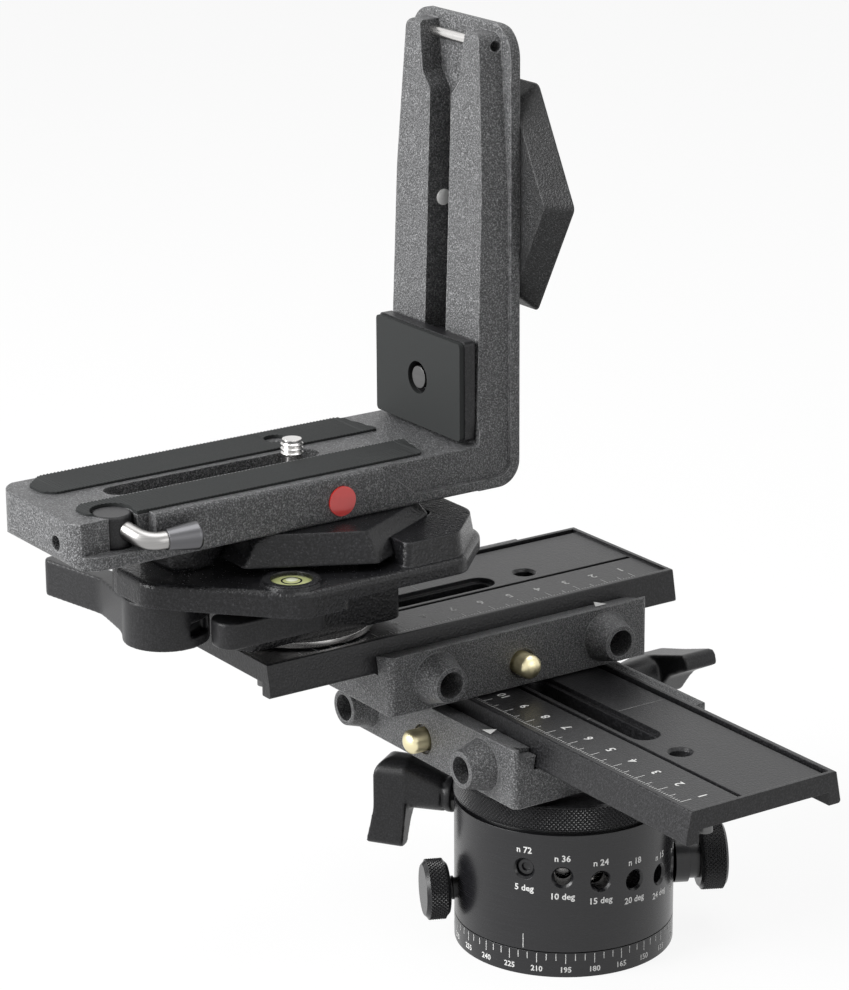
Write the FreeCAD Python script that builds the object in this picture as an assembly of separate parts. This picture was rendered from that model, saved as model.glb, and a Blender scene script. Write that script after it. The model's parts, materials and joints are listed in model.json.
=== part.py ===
import FreeCAD, Part
import math
import os

# A panoramic camera head. From the bottom up it has an indexing rotation unit,
# two crossed slide units, a quick release clamp and an elbow camera bracket.
# Millimetres. X is the lower plate's way of travel, Y the upper plate's, Z is up,
# and the origin is on the rotation axis, at the tripod face.

V = FreeCAD.Vector
UP = (0, 0, 1)
DOWN = (0, 0, -1)

# Clearances
RUN_GAP = 0.05          # radial, a shaft or pin in its own bore
FACE_GAP = 0.3          # between parts that move past each other
FLANK_GAP = 0.4         # dovetail flank to channel wall

# Rotation unit
BODY_R = 31.4
SCALE_RING_H = 7.3
ROTOR_H = 35.1
GROOVE_H = 0.8
GROOVE_DEPTH = 1.9
KNURL_R = BODY_R + 0.2
KNURL_H = 7.7
KNURL_CAP = 2.2
KNURL_BORE_R = 17.0
TOP_DISC_R = BODY_R - 7.4
TOP_DISC_H = 1.45
ROTOR_WALL = 5.4
ROTOR_LID = 7.3
SOCKET_R = 4.05         # tap drill of a 3/8 inch coarse thread
SOCKET_BUSH_R = 8.0
SOCKET_BUSH_H = 14.0
SPINDLE_R = 11.0
SPINDLE_FLANGE_H = 3.0
SPINDLE_STUB_R = 8.0
SPINDLE_STUB_H = 5.4
NUT_OVERLAP = 1.0
NUT_R = 14.0
NUT_H = 3.2
DRUM_GAP = 2.0
DRUM_R = BODY_R - ROTOR_WALL - DRUM_GAP
DRUM_H = 22.5
SPINDLE_FLANGE_R = DRUM_R - DRUM_GAP
WASHER_T = 2.0

# Index holes on a helix round the rotor, and the drum's row of sockets for each
INDEX_COUNTS = (72, 36, 24, 18, 15, 12, 10, 8, 6, 4)
INDEX_DATUM = -34.2     # plan angle of the index hole pattern's datum
INDEX_START = -22.9
INDEX_STEP = 19.93
INDEX_TOP_Z = 32.03
INDEX_DROP = 1.77
INDEX_BORE_R = 2.6
INDEX_MOUTH_R = 3.2
INDEX_MOUTH_DEPTH = 0.8
INDEX_MOUTH_OVER = 0.4
DETENT_R = 0.75
DETENT_DEPTH = 1.0
PLUNGER_HOLE = 6

# Index plunger
PIN_R = 1.5
COLLAR_R = 7.5
COLLAR_T = 4.0
NECK_R = 6.5
NECK_L = 3.2
PLUNGER_KNOB_R = 10.1
PLUNGER_KNOB_L = 7.7
PLUNGER_KNOB_BEVEL = 0.8
PLUNGER_SPRING_R = 3.3
PLUNGER_FLANGE_R = 3.1
PLUNGER_FLANGE_T = 1.0
PLUNGER_FLOOR = 0.6
PLUNGER_CAP = 0.8
PLUNGER_WIRE_R = 0.25
PLUNGER_TURNS = 3

# Drag thumbscrew
DRAG_ANGLE = -80.0
DRAG_Z = 16.2
DRAG_KNOB_R = 8.8
DRAG_KNOB_L = 7.0
DRAG_KNOB_OUT = 2.6
DRAG_KNOB_BEVEL = 1.0
DRAG_SHANK_OUT = 0.8
DRAG_SHANK_R = 3.4
DRAG_BORE_R = 3.0

# Lock levers, one design in three places
LEVER_HUB_R = 5.4
LEVER_BACK = 9.7        # the hub flares out behind the axis to the blade's back
LEVER_BACK_R = 5.0
LEVER_SIDE = 6.2        # the blade's straight side stands this far off the hub's axis
LEVER_HEEL_X = 1.0
LEVER_HEEL_R = 4.0
LEVER_KNEE_X = 8.5
LEVER_KNEE_Y = 0.3
LEVER_KNEE_R = 6.0
LEVER_REACH = 17.0
LEVER_TIP_W = 4.7
LEVER_TIP_R = 2.2
LEVER_HUB_OUT = 1.6
LEVER_STEP = 13.5
LEVER_THICK = 10.0
LEVER_LEAN = 1.3        # how far the blade's inner face leans out by the tip
LEVER_FLARE = 2.8       # and its outer face
LEVER_GROOVE_Z = 2.2
LEVER_GROOVE = 0.8
LEVER_REST = 15.0       # angle of the slide levers' blades at rest, up from the slide
LOCK_SCREW_R = 2.0
PAN_LOCK_ANGLE = -112.0
PAN_LOCK_Z = 37.5

# Slide units: a dovetail plate in a saddle, used twice
SADDLE_L = 89.5
SADDLE_HALF_W = 33.0
WALL_H = 17.35
FLOOR_H = 10.7
PLATE_L = 140.0
PLATE_H = 9.4
PLATE_TOP_HALF = 24.5
PLATE_FOOT_HALF = 26.35
PLATE_WEB = 5.6
FOOT_W = 4.4
FOOT_GAP = 0.25
RECESS = 0.6
LIP_W = 1.6
END_LIP = 1.2
RAIL_GROOVE_W = 1.6
RAIL_GROOVE_DEPTH = 1.2
SCALE_GROOVE_Y = -6.6
SCALE_GROOVE_W = 1.5
SCALE_GROOVE_DEPTH = 1.0
SLOT_START = -36.0
SLOT_END = 22.5
SLOT_W = 6.5
SLOT_STEP_W = 9.2
SLOT_STEP_DEPTH = 1.4
PLATE_HOLE_X = 34.0
PLATE_HOLE_R = 2.9
PLATE_HOLE_MOUTH_R = 3.7
BEVEL_LAND = 1.4
BEVEL_DROP = 1.4
WALL_CORNER_R = 2.0
NOTCH_L = 3.2
NOTCH_DEPTH = 2.6
BOSS_X = 29.4
BOSS_Z = 8.6
BOSS_OUT = 7.44
BOSS_BASE_R = 7.5
BOSS_END_R = 5.2
BOSS_BORE_R = 3.9
BOSS_BORE_DEPTH = 12.0
GUIDE_PIN_R = 1.75
GUIDE_HEAD_R = 3.6
GUIDE_HEAD_L = 3.0
BUTTON_Z = 6.65
BUTTON_R = 3.5
BUTTON_OUT = 6.0
BUTTON_BEVEL = 0.8
BUTTON_L = 14.0
BUTTON_STEM_R = 1.3
BUTTON_COLLAR_R = 4.4
BUTTON_COLLAR_DEPTH = 1.2
BUTTON_SPRING_L = 7.0
BUTTON_WIRE_R = 0.3
BUTTON_TURNS = 4
JAW_SPLIT = 28.2
JAW_GAP = 0.4
LOCK_Z = 8.4
LOCK_SCREW_END = 6.0
STOP_LUG = 4.0
STOP_LUG_Y = -17.0
STOP_LUG_H = 2.8
END_STOP_INSET = 4.0
END_STOP_R = 2.2
END_STOP_HANG = 2.9

# Where the units stand, in plan
LOWER_SADDLE_X = -22.8
LOWER_PLATE_OFFSET = 41.4
UPPER_SADDLE_X = -45.2
UPPER_SADDLE_Y = -6.0
UPPER_PLATE_OFFSET = -9.6
SADDLE_SCREW_R = 2.0
SADDLE_SCREW_HEAD_R = 3.6
SADDLE_SCREW_HEAD_H = 2.4
SADDLE_SCREW_PCD_R = 13.5
SADDLE_SCREW_COUNT = 3
CROSS_SCREW_XS = (-45.2, -31.2)

# Clamp
CLAMP_X = -45.1
CLAMP_Y = -60.0
CLAMP_DISC_R = 21.0
CLAMP_DISC_H = 1.65
HUB_HALF_X = 17.0
HUB_BACK = 25.0
HUB_FRONT = -28.0
HUB_H = 17.8
HUB_CORNER_R = 5.0
DECK_H = 7.2            # at the nose, where it is thickest
DECK_THIN = 4.3
DECK_BEVEL = 1.6
DECK_HALF_X = 45.3
DECK_SHOULDER_Y = -26.5
DECK_SHOULDER_R = 7.0
DECK_BACK_Y = 26.0
DECK_TAIL_X = 28.0
DECK_TAIL_Y = 43.5
DECK_TAIL_R = 9.0
DECK_NOSE_X = 4.0
DECK_NOSE_HALF = 9.0
DECK_NOSE_Y = -56.5
DECK_NOSE_R = 9.0
DECK_STEP_Y = -10.5     # where the thick nose ends under the deck
DECK_STEP_R = 4.0
CLAMP_BOLT_R = 4.0
CLAMP_BOLT_HEAD_R = 7.0
CLAMP_BOLT_HEAD_H = 2.4
SEAT_H = 2.4
SEAT_INSET = 9.0
JAW_TOP = 4.0
JAW_ROOT = 0.5
JAW_INSET = 1.9
JAW_LEAN = 1.4          # how far the fixed jaw's outer face leans in
JAW_FRONT = 7.5
JAW_END_R = 2.5
MOVING_JAW_HALF = 12.0
MOVING_JAW_DEPTH = 14.0
MOVING_JAW_R = 6.0
MOVING_JAW_EDGE_R = 1.0
LEVER_PIVOT_X = 3.0
LEVER_PIVOT_Y = -44.5
MAIN_LEVER_R = 12.0
MAIN_LEVER_H = 13.4
MAIN_LEVER_GAP = 0.4
MAIN_LEVER_PIN_R = 3.0
MAIN_LEVER_REACH = 46.3
HANDLE_RISE = 2.3       # the handle's foot stands above the barrel's
HANDLE_T = 7.0
HANDLE_WAIST = 8.4      # from the pivot out to the handle's face at its waist
HANDLE_WAIST_X = 21.0
HANDLE_TIP = 13.4
HANDLE_TIP_R = 2.5
HANDLE_WAIST_R = 16.0
WINDOW_H = 4.0
WINDOW_W = 8.0
WINDOW_DEPTH = 3.0
WINDOW_ANGLE = 25.0
CATCH_PIVOT_X = 24.0
CATCH_PIVOT_Y = -14.0
CATCH_PIN_R = 1.6
CATCH_BOSS_R = 4.5
CATCH_H = 7.6
CATCH_DROP = 3.4        # from the deck's nose down to the catch's top
CATCH_HALF = 5.4
CATCH_TAIL = 5.0
CATCH_REACH = 27.4
CATCH_TIP_R = 4.6
LEVEL_X = 35.2
LEVEL_Y = -23.9
LEVEL_BOSS_R = 8.6
LEVEL_BOSS_LIP = 0.4
LEVEL_CUP_R = 7.7
LEVEL_CUP_H = 5.0
LEVEL_CUP_RISE = 1.3
LEVEL_VIAL_R = 5.8
LEVEL_VIAL_H = 3.0
LEVEL_VIAL_DROP = 0.7

# Hexagonal dovetail plates
HEX_CORNER_X = 24.4
HEX_FLAT_Y = 32.0
HEX_APEX_X = 41.3
HEX_UNDERCUT = 5.3
HEX_CORNER_R = 2.5
BASE_HEX_T = 7.6
ARM_HEX_T = 6.0
ARM_HEX_RISE = 81.2
HEX_GAP = 0.25
HEX_HOLE_R = 4.05

# Elbow bracket
BRACKET_X = -45.1
BRACKET_BACK_Y = -0.7
BRACKET_L = 140.9
BRACKET_W = 48.0
BASE_T = 12.8
ARM_TOP_RISE = 127.2
RIM_RISE = 2.5          # the rim behind the arm stands above it
ARM_T_LOW = 13.0
ARM_T_TOP = 9.2
ARM_HALF_LOW = 21.6
ARM_HALF_MID = 20.0
ARM_HALF_TOP = 16.4
ARM_MID_RISE = 85.0
ARM_SIDE_R = 60.0
ARM_FOOT_H = 7.0
ARM_FOOT_R = 6.0
ARM_TOP_R = 3.0
ARM_DRAFT = 2.6         # the arm's sides widen by this much towards its back
ARM_RIM_TOP_R = 9.0
BEND_R = 7.0
INNER_CORNER_R = 0.8
NOSE_R = 10.0
EDGE_R = 1.5
PANEL_DEPTH = 1.0
RIM_W = 3.0
PANEL_FADE_Y = 35.0
BASE_SLOT_W = 8.4
BASE_SLOT_NEAR = 52.2
BASE_SLOT_FAR = BRACKET_L - 21.3
BASE_SLOT_STEP_W = 14.0
BASE_SLOT_STEP_H = 6.0
ARM_SLOT_W = 10.2
ARM_SLOT_LOW = 18.0
ARM_SLOT_NECK = 108.9
ARM_SLOT_R = 3.0
FLARE_RISE = 4.5
FLARE_HALF = 9.0
FLARE_TOP_HALF = 11.0
SLOT_PIN_R = 1.5
SLOT_PIN_DROP = 3.4
SLOT_PIN_DEPTH = 4.6
STRIP_T = 1.2
STRIP_SEAT = 0.4
STRIP_INNER = 6.3
STRIP_OUTER = 20.6
STRIP_OUTER_LEFT = 22.3
STRIP_NEAR = 27.5
STRIP_FAR = BRACKET_L - 7.0
STRIP_NOTCH_Y = 56.5
STRIP_NOTCH_INSET = 6.0
STRIP_NOTCH_R = 3.5
STRIP_TAPER = 6.0
CAMERA_SCREW_R = 3.175
CAMERA_SCREW_Y = 60.3
CAMERA_SCREW_OUT = 4.9
CAMERA_SCREW_HEAD_R = 6.4
CAMERA_SCREW_HEAD_H = 3.4
SCREW_WASHER_T = 1.0
CAMERA_SCREW_NECK_R = 2.5
CAMERA_SCREW_THREAD = 4.7
THREAD_BEVEL = 0.5
DRIVE_SLOT_W = 1.2
DRIVE_SLOT_DEPTH = 1.4
BADGE_R = 4.2
BADGE_T = 1.2
BADGE_SEAT = 0.6
BADGE_Y = 59.6
BADGE_RISE = 5.7
END_SOCKET_R = 2.1
END_SOCKET_X = 11.0
END_SOCKET_DEPTH = 7.0

# Swing lever at the bracket's free end
SWING_X = 15.5
SWING_Y = BRACKET_L - 14.4
SWING_BARREL_R = 5.3
SWING_BARREL_BEVEL = 0.5
SWING_POCKET_R = 5.8
SWING_RECESS = 3.5      # how far the bracket's side is set in beside the lever
SWING_RECESS_Y = BRACKET_L - 22.9
SWING_LEDGE = 3.8
SWING_MOUTH_BACK = 5.0
SWING_MOUTH_FRONT = 3.6
SWING_ROD_R = 2.4
SWING_ROD_RISE = 6.5    # of the part that runs beside the bracket
SWING_ROD_DROP = 3.6    # from the barrel down to there
SWING_ROD_SUNK = 2.0    # how far the rod goes in past the barrel's skin
SWING_BEND_X = 11.2     # from the barrel's axis to the rod's bend
SWING_BEND_Y = 4.5
SWING_BEND_R = 6.0
SWING_SPREAD = 2.0      # from the bend to the sleeve's far end
SWING_LENGTH = 14.6
SLEEVE_SMALL_R = 2.9
SLEEVE_R = 4.0
SLEEVE_L = 9.6
SLEEVE_END = 2.0
SLEEVE_ROUND = 1.2

# Camera plate on the arm
PAD_HALF_W = 21.2
PAD_H = 28.8
PAD_METAL_T = 3.3
PAD_RUBBER_T = 1.6
PAD_HOLE_R = 4.7
ARM_SCREW_HEAD_R = 4.2
ARM_SCREW_HEAD_L = 2.0
TENON_HALF = 4.9
TENON_DEPTH = 6.0
TENON_LIFT = 3.5
TENON_DROP = 2.0
PAD_CORNER_R = 1.2
PAD_INSET = 0.4
ARM_SCREW_SUNK = 0.4

# Levels worked out from the sizes above
ROTOR_Z = SCALE_RING_H + FACE_GAP
ROTOR_TOP = ROTOR_Z + ROTOR_H
KNURL_Z = ROTOR_TOP + GROOVE_H
KNURL_TOP = KNURL_Z + KNURL_H
LOWER_Z = KNURL_TOP + TOP_DISC_H
FOOT_Z = FLOOR_H + FOOT_GAP
PLATE_TOP = FOOT_Z + PLATE_H
UPPER_Z = LOWER_Z + PLATE_TOP
CLAMP_Z = UPPER_Z + PLATE_TOP
HUB_Z = CLAMP_Z + CLAMP_DISC_H
DECK_Z = HUB_Z + HUB_H
SEAT_Z = DECK_Z + DECK_H
HEX_Z = SEAT_Z + SEAT_H
BRACKET_Z = HEX_Z + BASE_HEX_T
BASE_TOP = BRACKET_Z + BASE_T
ARM_TOP = BRACKET_Z + ARM_TOP_RISE
RIM_TOP = ARM_TOP + RIM_RISE
FLANK_SLOPE = (PLATE_FOOT_HALF - PLATE_TOP_HALF) / PLATE_H


# Drawing helpers

def box(x0, x1, y0, y1, z0, z1):
    return Part.makeBox(x1 - x0, y1 - y0, z1 - z0, V(x0, y0, z0))


def rod(radius, start, direction, length):
    return Part.makeCylinder(radius, length, V(*start), V(*direction))


def cone(radius_start, radius_end, start, direction, length):
    return Part.makeCone(radius_start, radius_end, length, V(*start), V(*direction))


def tube(outer, inner, start, direction, length):
    return rod(outer, start, direction, length).cut(rod(inner, start, direction, length))


def moved(shape, x=0.0, y=0.0, z=0.0, turn=0.0, about=UP):
    out = shape.copy()
    out.Placement = FreeCAD.Placement(V(x, y, z), FreeCAD.Rotation(V(*about), turn)).multiply(out.Placement)
    return out


def outline(corners):
    """A flat face from (x, y, radius) corners; a radius of 0 leaves the corner sharp."""
    spots = [V(x, y, 0) for x, y, _ in corners]
    starts, middles, ends = [], [], []
    for i, (_, _, radius) in enumerate(corners):
        here = spots[i]
        back = (spots[i - 1] - here).normalize()
        ahead = (spots[(i + 1) % len(spots)] - here).normalize()
        if radius == 0:
            starts.append(here)
            ends.append(here)
            middles.append(None)
            continue
        half = back.getAngle(ahead) / 2
        reach = radius / math.tan(half)
        towards = (back + ahead).normalize()
        starts.append(here + back * reach)
        ends.append(here + ahead * reach)
        middles.append(here + towards * (radius / math.sin(half) - radius))
    edges = []
    for i in range(len(corners)):
        if middles[i] is not None:
            edges.append(Part.Arc(starts[i], middles[i], ends[i]).toShape())
        following = starts[(i + 1) % len(corners)]
        if ends[i].distanceToPoint(following) > 1e-6:
            edges.append(Part.LineSegment(ends[i], following).toShape())
    return Part.Face(Part.Wire(edges))


def prism(corners, z0, z1):
    """An outline in plan, raised from z0 to z1."""
    face = outline(corners)
    face.translate(V(0, 0, z0))
    return face.extrude(V(0, 0, z1 - z0))


def prism_x(corners, x0, x1):
    """An outline of (y, z, radius) corners, run from x0 to x1."""
    face = outline(corners)
    turn = FreeCAD.Rotation(V(0, 1, 0), V(0, 0, 1), V(1, 0, 0), "XYZ")
    face.Placement = FreeCAD.Placement(V(x0, 0, 0), turn)
    return face.extrude(V(x1 - x0, 0, 0))


def prism_y(corners, y0, y1):
    """An outline of (x, z, radius) corners, run from y0 to y1."""
    face = outline(corners)
    turn = FreeCAD.Rotation(V(1, 0, 0), V(0, 0, 1), V(0, -1, 0), "XYZ")
    face.Placement = FreeCAD.Placement(V(0, y0, 0), turn)
    return face.extrude(V(0, y1 - y0, 0))


def loft(lower_corners, z0, upper_corners, z1):
    """A straight-sided solid between two plan outlines."""
    wires = []
    for corners, z in ((lower_corners, z0), (upper_corners, z1)):
        wire = outline(corners).OuterWire
        wire.translate(V(0, 0, z))
        wires.append(wire)
    return Part.makeLoft(wires, True, True)


def loft_y(front_corners, y0, back_corners, y1):
    """A straight-sided solid between two outlines of (x, z, radius) corners."""
    turn = FreeCAD.Rotation(V(1, 0, 0), V(0, 0, 1), V(0, -1, 0), "XYZ")
    wires = []
    for corners, y in ((front_corners, y0), (back_corners, y1)):
        wire = outline(corners).OuterWire
        wire.Placement = FreeCAD.Placement(V(0, y, 0), turn)
        wires.append(wire)
    return Part.makeLoft(wires, True, True)


def oblong(half_length, half_width, z0, z1, x=0.0, y=0.0):
    """A slot shape along X with round ends."""
    straight = half_length - half_width
    body = box(x - straight, x + straight, y - half_width, y + half_width, z0, z1)
    for side in (-1, 1):
        body = body.fuse(rod(half_width, (x + side * straight, y, z0), UP, z1 - z0))
    return body.removeSplitter()


def coil(mean_radius, wire_radius, length, turns):
    """A compression spring along Z from 0 to length."""
    rise = length - 2 * wire_radius
    path = Part.makeLongHelix(rise / turns, rise, mean_radius)
    section = Part.Wire(Part.makeCircle(wire_radius, V(mean_radius, 0, 0), V(0, 1, 0)))
    spring = Part.Wire(path.Edges).makePipeShell([section], True, True)
    spring.translate(V(0, 0, wire_radius))
    return spring


def along(shape, start, direction):
    """A shape drawn up the Z axis, turned to a direction and put at a start."""
    out = shape.copy()
    out.Placement = FreeCAD.Placement(V(*start), FreeCAD.Rotation(V(0, 0, 1), V(*direction)))
    return out


def radial(angle):
    """The plan direction at an angle from the index datum."""
    turn = math.radians(INDEX_DATUM + angle)
    return (math.cos(turn), math.sin(turn), 0.0)


def out_at(angle, distance, z):
    way = radial(angle)
    return (way[0] * distance, way[1] * distance, z)


# Rotation unit, fixed side

def scale_ring():
    ring = rod(BODY_R, (0, 0, 0), UP, SCALE_RING_H)
    return ring.cut(rod(SOCKET_BUSH_R, (0, 0, 0), UP, SCALE_RING_H))


def tripod_bush():
    return tube(SOCKET_BUSH_R, SOCKET_R, (0, 0, 0), UP, SOCKET_BUSH_H)


def pan_spindle():
    z0 = SCALE_RING_H
    post = rod(SPINDLE_FLANGE_R, (0, 0, z0), UP, SPINDLE_FLANGE_H)
    post = post.fuse(rod(SPINDLE_R, (0, 0, z0), UP, ROTOR_TOP - z0))
    post = post.fuse(rod(SPINDLE_STUB_R, (0, 0, ROTOR_TOP), UP, SPINDLE_STUB_H))
    return post.cut(rod(SOCKET_BUSH_R, (0, 0, z0), UP, SOCKET_BUSH_H - z0))


def drum_z():
    return SCALE_RING_H + SPINDLE_FLANGE_H + FACE_GAP


def index_z(hole):
    return INDEX_TOP_Z - INDEX_DROP * hole


def detent_drum():
    z0 = drum_z()
    drum = tube(DRUM_R, SPINDLE_R, (0, 0, z0), UP, DRUM_H)
    sockets = []
    for hole, count in enumerate(INDEX_COUNTS):
        for step in range(count):
            angle = INDEX_START + INDEX_STEP * PLUNGER_HOLE + 360.0 * step / count
            start = out_at(angle, DRUM_R - DETENT_DEPTH, index_z(hole))
            sockets.append(rod(DETENT_R, start, radial(angle), DETENT_DEPTH * 2))
    return drum.cut(Part.makeCompound(sockets))


def spindle_nut():
    z0 = ROTOR_TOP + WASHER_T + FACE_GAP - NUT_OVERLAP
    nut = rod(NUT_R, (0, 0, z0), UP, NUT_H)
    return nut.cut(rod(SPINDLE_STUB_R, (0, 0, z0), UP, NUT_H))


# Rotation unit, turning side

def rotor_housing():
    shell = rod(BODY_R, (0, 0, ROTOR_Z), UP, ROTOR_H)
    shell = shell.fuse(rod(BODY_R - GROOVE_DEPTH, (0, 0, ROTOR_TOP), UP, GROOVE_H))
    inner = BODY_R - ROTOR_WALL
    lid_z = ROTOR_TOP - ROTOR_LID
    shell = shell.cut(rod(inner, (0, 0, ROTOR_Z), UP, lid_z - ROTOR_Z))
    shell = shell.cut(rod(SPINDLE_R + RUN_GAP, (0, 0, lid_z), UP, ROTOR_LID))
    shell = shell.cut(rod(KNURL_BORE_R, (0, 0, ROTOR_TOP), UP, GROOVE_H))
    bores = []
    for hole in range(len(INDEX_COUNTS)):
        angle = INDEX_START + INDEX_STEP * hole
        z = index_z(hole)
        bores.append(rod(INDEX_BORE_R, out_at(angle, inner - 2, z), radial(angle), ROTOR_WALL + 4))
        mouth = out_at(angle, BODY_R - INDEX_MOUTH_DEPTH, z)
        bores.append(cone(INDEX_BORE_R, INDEX_MOUTH_R + INDEX_MOUTH_OVER, mouth, radial(angle),
                          INDEX_MOUTH_DEPTH + INDEX_MOUTH_OVER))
    bores.append(rod(DRAG_BORE_R, out_at(DRAG_ANGLE, inner - 2, DRAG_Z), radial(DRAG_ANGLE), ROTOR_WALL + 4))
    lock = out_at(PAN_LOCK_ANGLE, SPINDLE_R, PAN_LOCK_Z)
    bores.append(rod(LOCK_SCREW_R + RUN_GAP, lock, radial(PAN_LOCK_ANGLE), BODY_R + 1 - SPINDLE_R))
    return shell.cut(Part.makeCompound(bores))


def thrust_washer():
    z0 = ROTOR_TOP - ROTOR_LID - WASHER_T
    return tube(SPINDLE_FLANGE_R, SPINDLE_R + FACE_GAP, (0, 0, z0), UP, WASHER_T)


def knurled_ring():
    ring = rod(KNURL_R, (0, 0, KNURL_Z), UP, KNURL_H)
    ring = ring.cut(rod(KNURL_BORE_R, (0, 0, KNURL_Z), UP, KNURL_H - KNURL_CAP))
    return ring.cut(saddle_screw_shanks(SADDLE_SCREW_R))


def saddle_screw_spots():
    for i in range(SADDLE_SCREW_COUNT):
        turn = math.radians(360.0 * i / SADDLE_SCREW_COUNT)
        yield SADDLE_SCREW_PCD_R * math.cos(turn), SADDLE_SCREW_PCD_R * math.sin(turn)


def saddle_screw_shanks(radius):
    z0 = KNURL_TOP - KNURL_CAP
    z1 = LOWER_Z + FLOOR_H
    return Part.makeCompound([rod(radius, (x, y, z0), UP, z1 - z0) for x, y in saddle_screw_spots()])


def countersunk(x, y, z_low, z_top):
    """A countersunk screw standing on its tip, head flush with z_top."""
    head_z = z_top - SADDLE_SCREW_HEAD_H
    shank = rod(SADDLE_SCREW_R, (x, y, z_low), UP, z_top - z_low)
    return shank.fuse(cone(SADDLE_SCREW_R, SADDLE_SCREW_HEAD_R, (x, y, head_z), UP, SADDLE_SCREW_HEAD_H))


def saddle_screws():
    z0 = KNURL_TOP - KNURL_CAP
    z1 = LOWER_Z + FLOOR_H
    return Part.makeCompound([countersunk(x, y, z0, z1) for x, y in saddle_screw_spots()])


def top_disc():
    disc = rod(TOP_DISC_R, (0, 0, KNURL_TOP), UP, TOP_DISC_H)
    return disc.cut(saddle_screw_shanks(SADDLE_SCREW_R))


# Index plunger

def plunger_angle():
    return INDEX_START + INDEX_STEP * PLUNGER_HOLE


def plunger_part(shape, distance):
    angle = plunger_angle()
    return along(shape, out_at(angle, distance, index_z(PLUNGER_HOLE)), radial(angle))


def plunger_collar():
    inner = BODY_R - ROTOR_WALL
    chamber_l = COLLAR_T + NECK_L - PLUNGER_FLOOR - PLUNGER_CAP
    thread = rod(INDEX_BORE_R, (0, 0, 0), UP, ROTOR_WALL)
    flange = rod(COLLAR_R, (0, 0, ROTOR_WALL), UP, COLLAR_T)
    neck = rod(NECK_R, (0, 0, ROTOR_WALL + COLLAR_T), UP, NECK_L)
    body = thread.fuse(flange).fuse(neck)
    body = body.cut(rod(PIN_R + RUN_GAP, (0, 0, 0), UP, ROTOR_WALL + COLLAR_T + NECK_L))
    body = body.cut(rod(PLUNGER_SPRING_R, (0, 0, ROTOR_WALL + PLUNGER_FLOOR), UP, chamber_l))
    return plunger_part(body, inner)


def flange_distance():
    """How far from the rotation axis the pin's spring flange starts."""
    return BODY_R + PLUNGER_FLOOR + RUN_GAP


def plunger_pin():
    start = DRUM_R + FACE_GAP
    knob_foot = BODY_R + COLLAR_T + NECK_L + FACE_GAP
    length = knob_foot + PLUNGER_KNOB_L / 2 - start
    pin = rod(PIN_R, (0, 0, PIN_R / 2), UP, length - PIN_R / 2)
    pin = pin.fuse(cone(PIN_R / 2, PIN_R, (0, 0, 0), UP, PIN_R / 2))
    flange = rod(PLUNGER_FLANGE_R, (0, 0, flange_distance() - start), UP, PLUNGER_FLANGE_T)
    return plunger_part(pin.fuse(flange), start)


def plunger_knob():
    foot = BODY_R + COLLAR_T + NECK_L + FACE_GAP
    knob = rod(PLUNGER_KNOB_R, (0, 0, 0), UP, PLUNGER_KNOB_L)
    knob = knob.makeChamfer(PLUNGER_KNOB_BEVEL, [e for e in knob.Edges if e.Closed and e.BoundBox.ZMin > 0.01])
    knob = knob.cut(rod(PIN_R, (0, 0, 0), UP, PLUNGER_KNOB_L / 2))
    return plunger_part(knob, foot)


def plunger_spring():
    start = flange_distance() + PLUNGER_FLANGE_T + FACE_GAP
    length = BODY_R + COLLAR_T + NECK_L - PLUNGER_CAP - FACE_GAP - start
    mean_r = (PIN_R + PLUNGER_SPRING_R) / 2
    return plunger_part(coil(mean_r, PLUNGER_WIRE_R, length, PLUNGER_TURNS), start)


# Drag thumbscrew and pan lock

def drag_thumbscrew():
    start = DRUM_R + FACE_GAP
    step = BODY_R + DRAG_SHANK_OUT - start
    face = BODY_R + DRAG_KNOB_OUT - start
    shank = rod(DRAG_BORE_R - RUN_GAP, (0, 0, 0), UP, step)
    shank = shank.fuse(rod(DRAG_SHANK_R, (0, 0, step), UP, face - step))
    knob = rod(DRAG_KNOB_R, (0, 0, face), UP, DRAG_KNOB_L)
    knob = knob.makeChamfer(DRAG_KNOB_BEVEL, [e for e in knob.Edges if e.Closed])
    screw = shank.fuse(knob)
    return along(screw, out_at(DRAG_ANGLE, start, DRAG_Z), radial(DRAG_ANGLE))


def lever_flare():
    """The hub beyond its groove: round at first, as deep as the blade's back at the end."""
    foot = LEVER_HUB_R - RUN_GAP
    start = LEVER_GROOVE_Z + LEVER_GROOVE
    bend = foot - RUN_GAP
    circle = [(-foot, -foot, bend), (foot, -foot, bend), (foot, foot, bend), (-foot, foot, bend)]
    back = [(-LEVER_BACK, -LEVER_SIDE, LEVER_BACK_R), (foot, -LEVER_SIDE, LEVER_BACK_R),
            (foot, LEVER_SIDE, LEVER_BACK_R), (-LEVER_BACK, LEVER_SIDE, LEVER_BACK_R)]
    return loft(circle, start, back, LEVER_STEP + 1)


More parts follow.
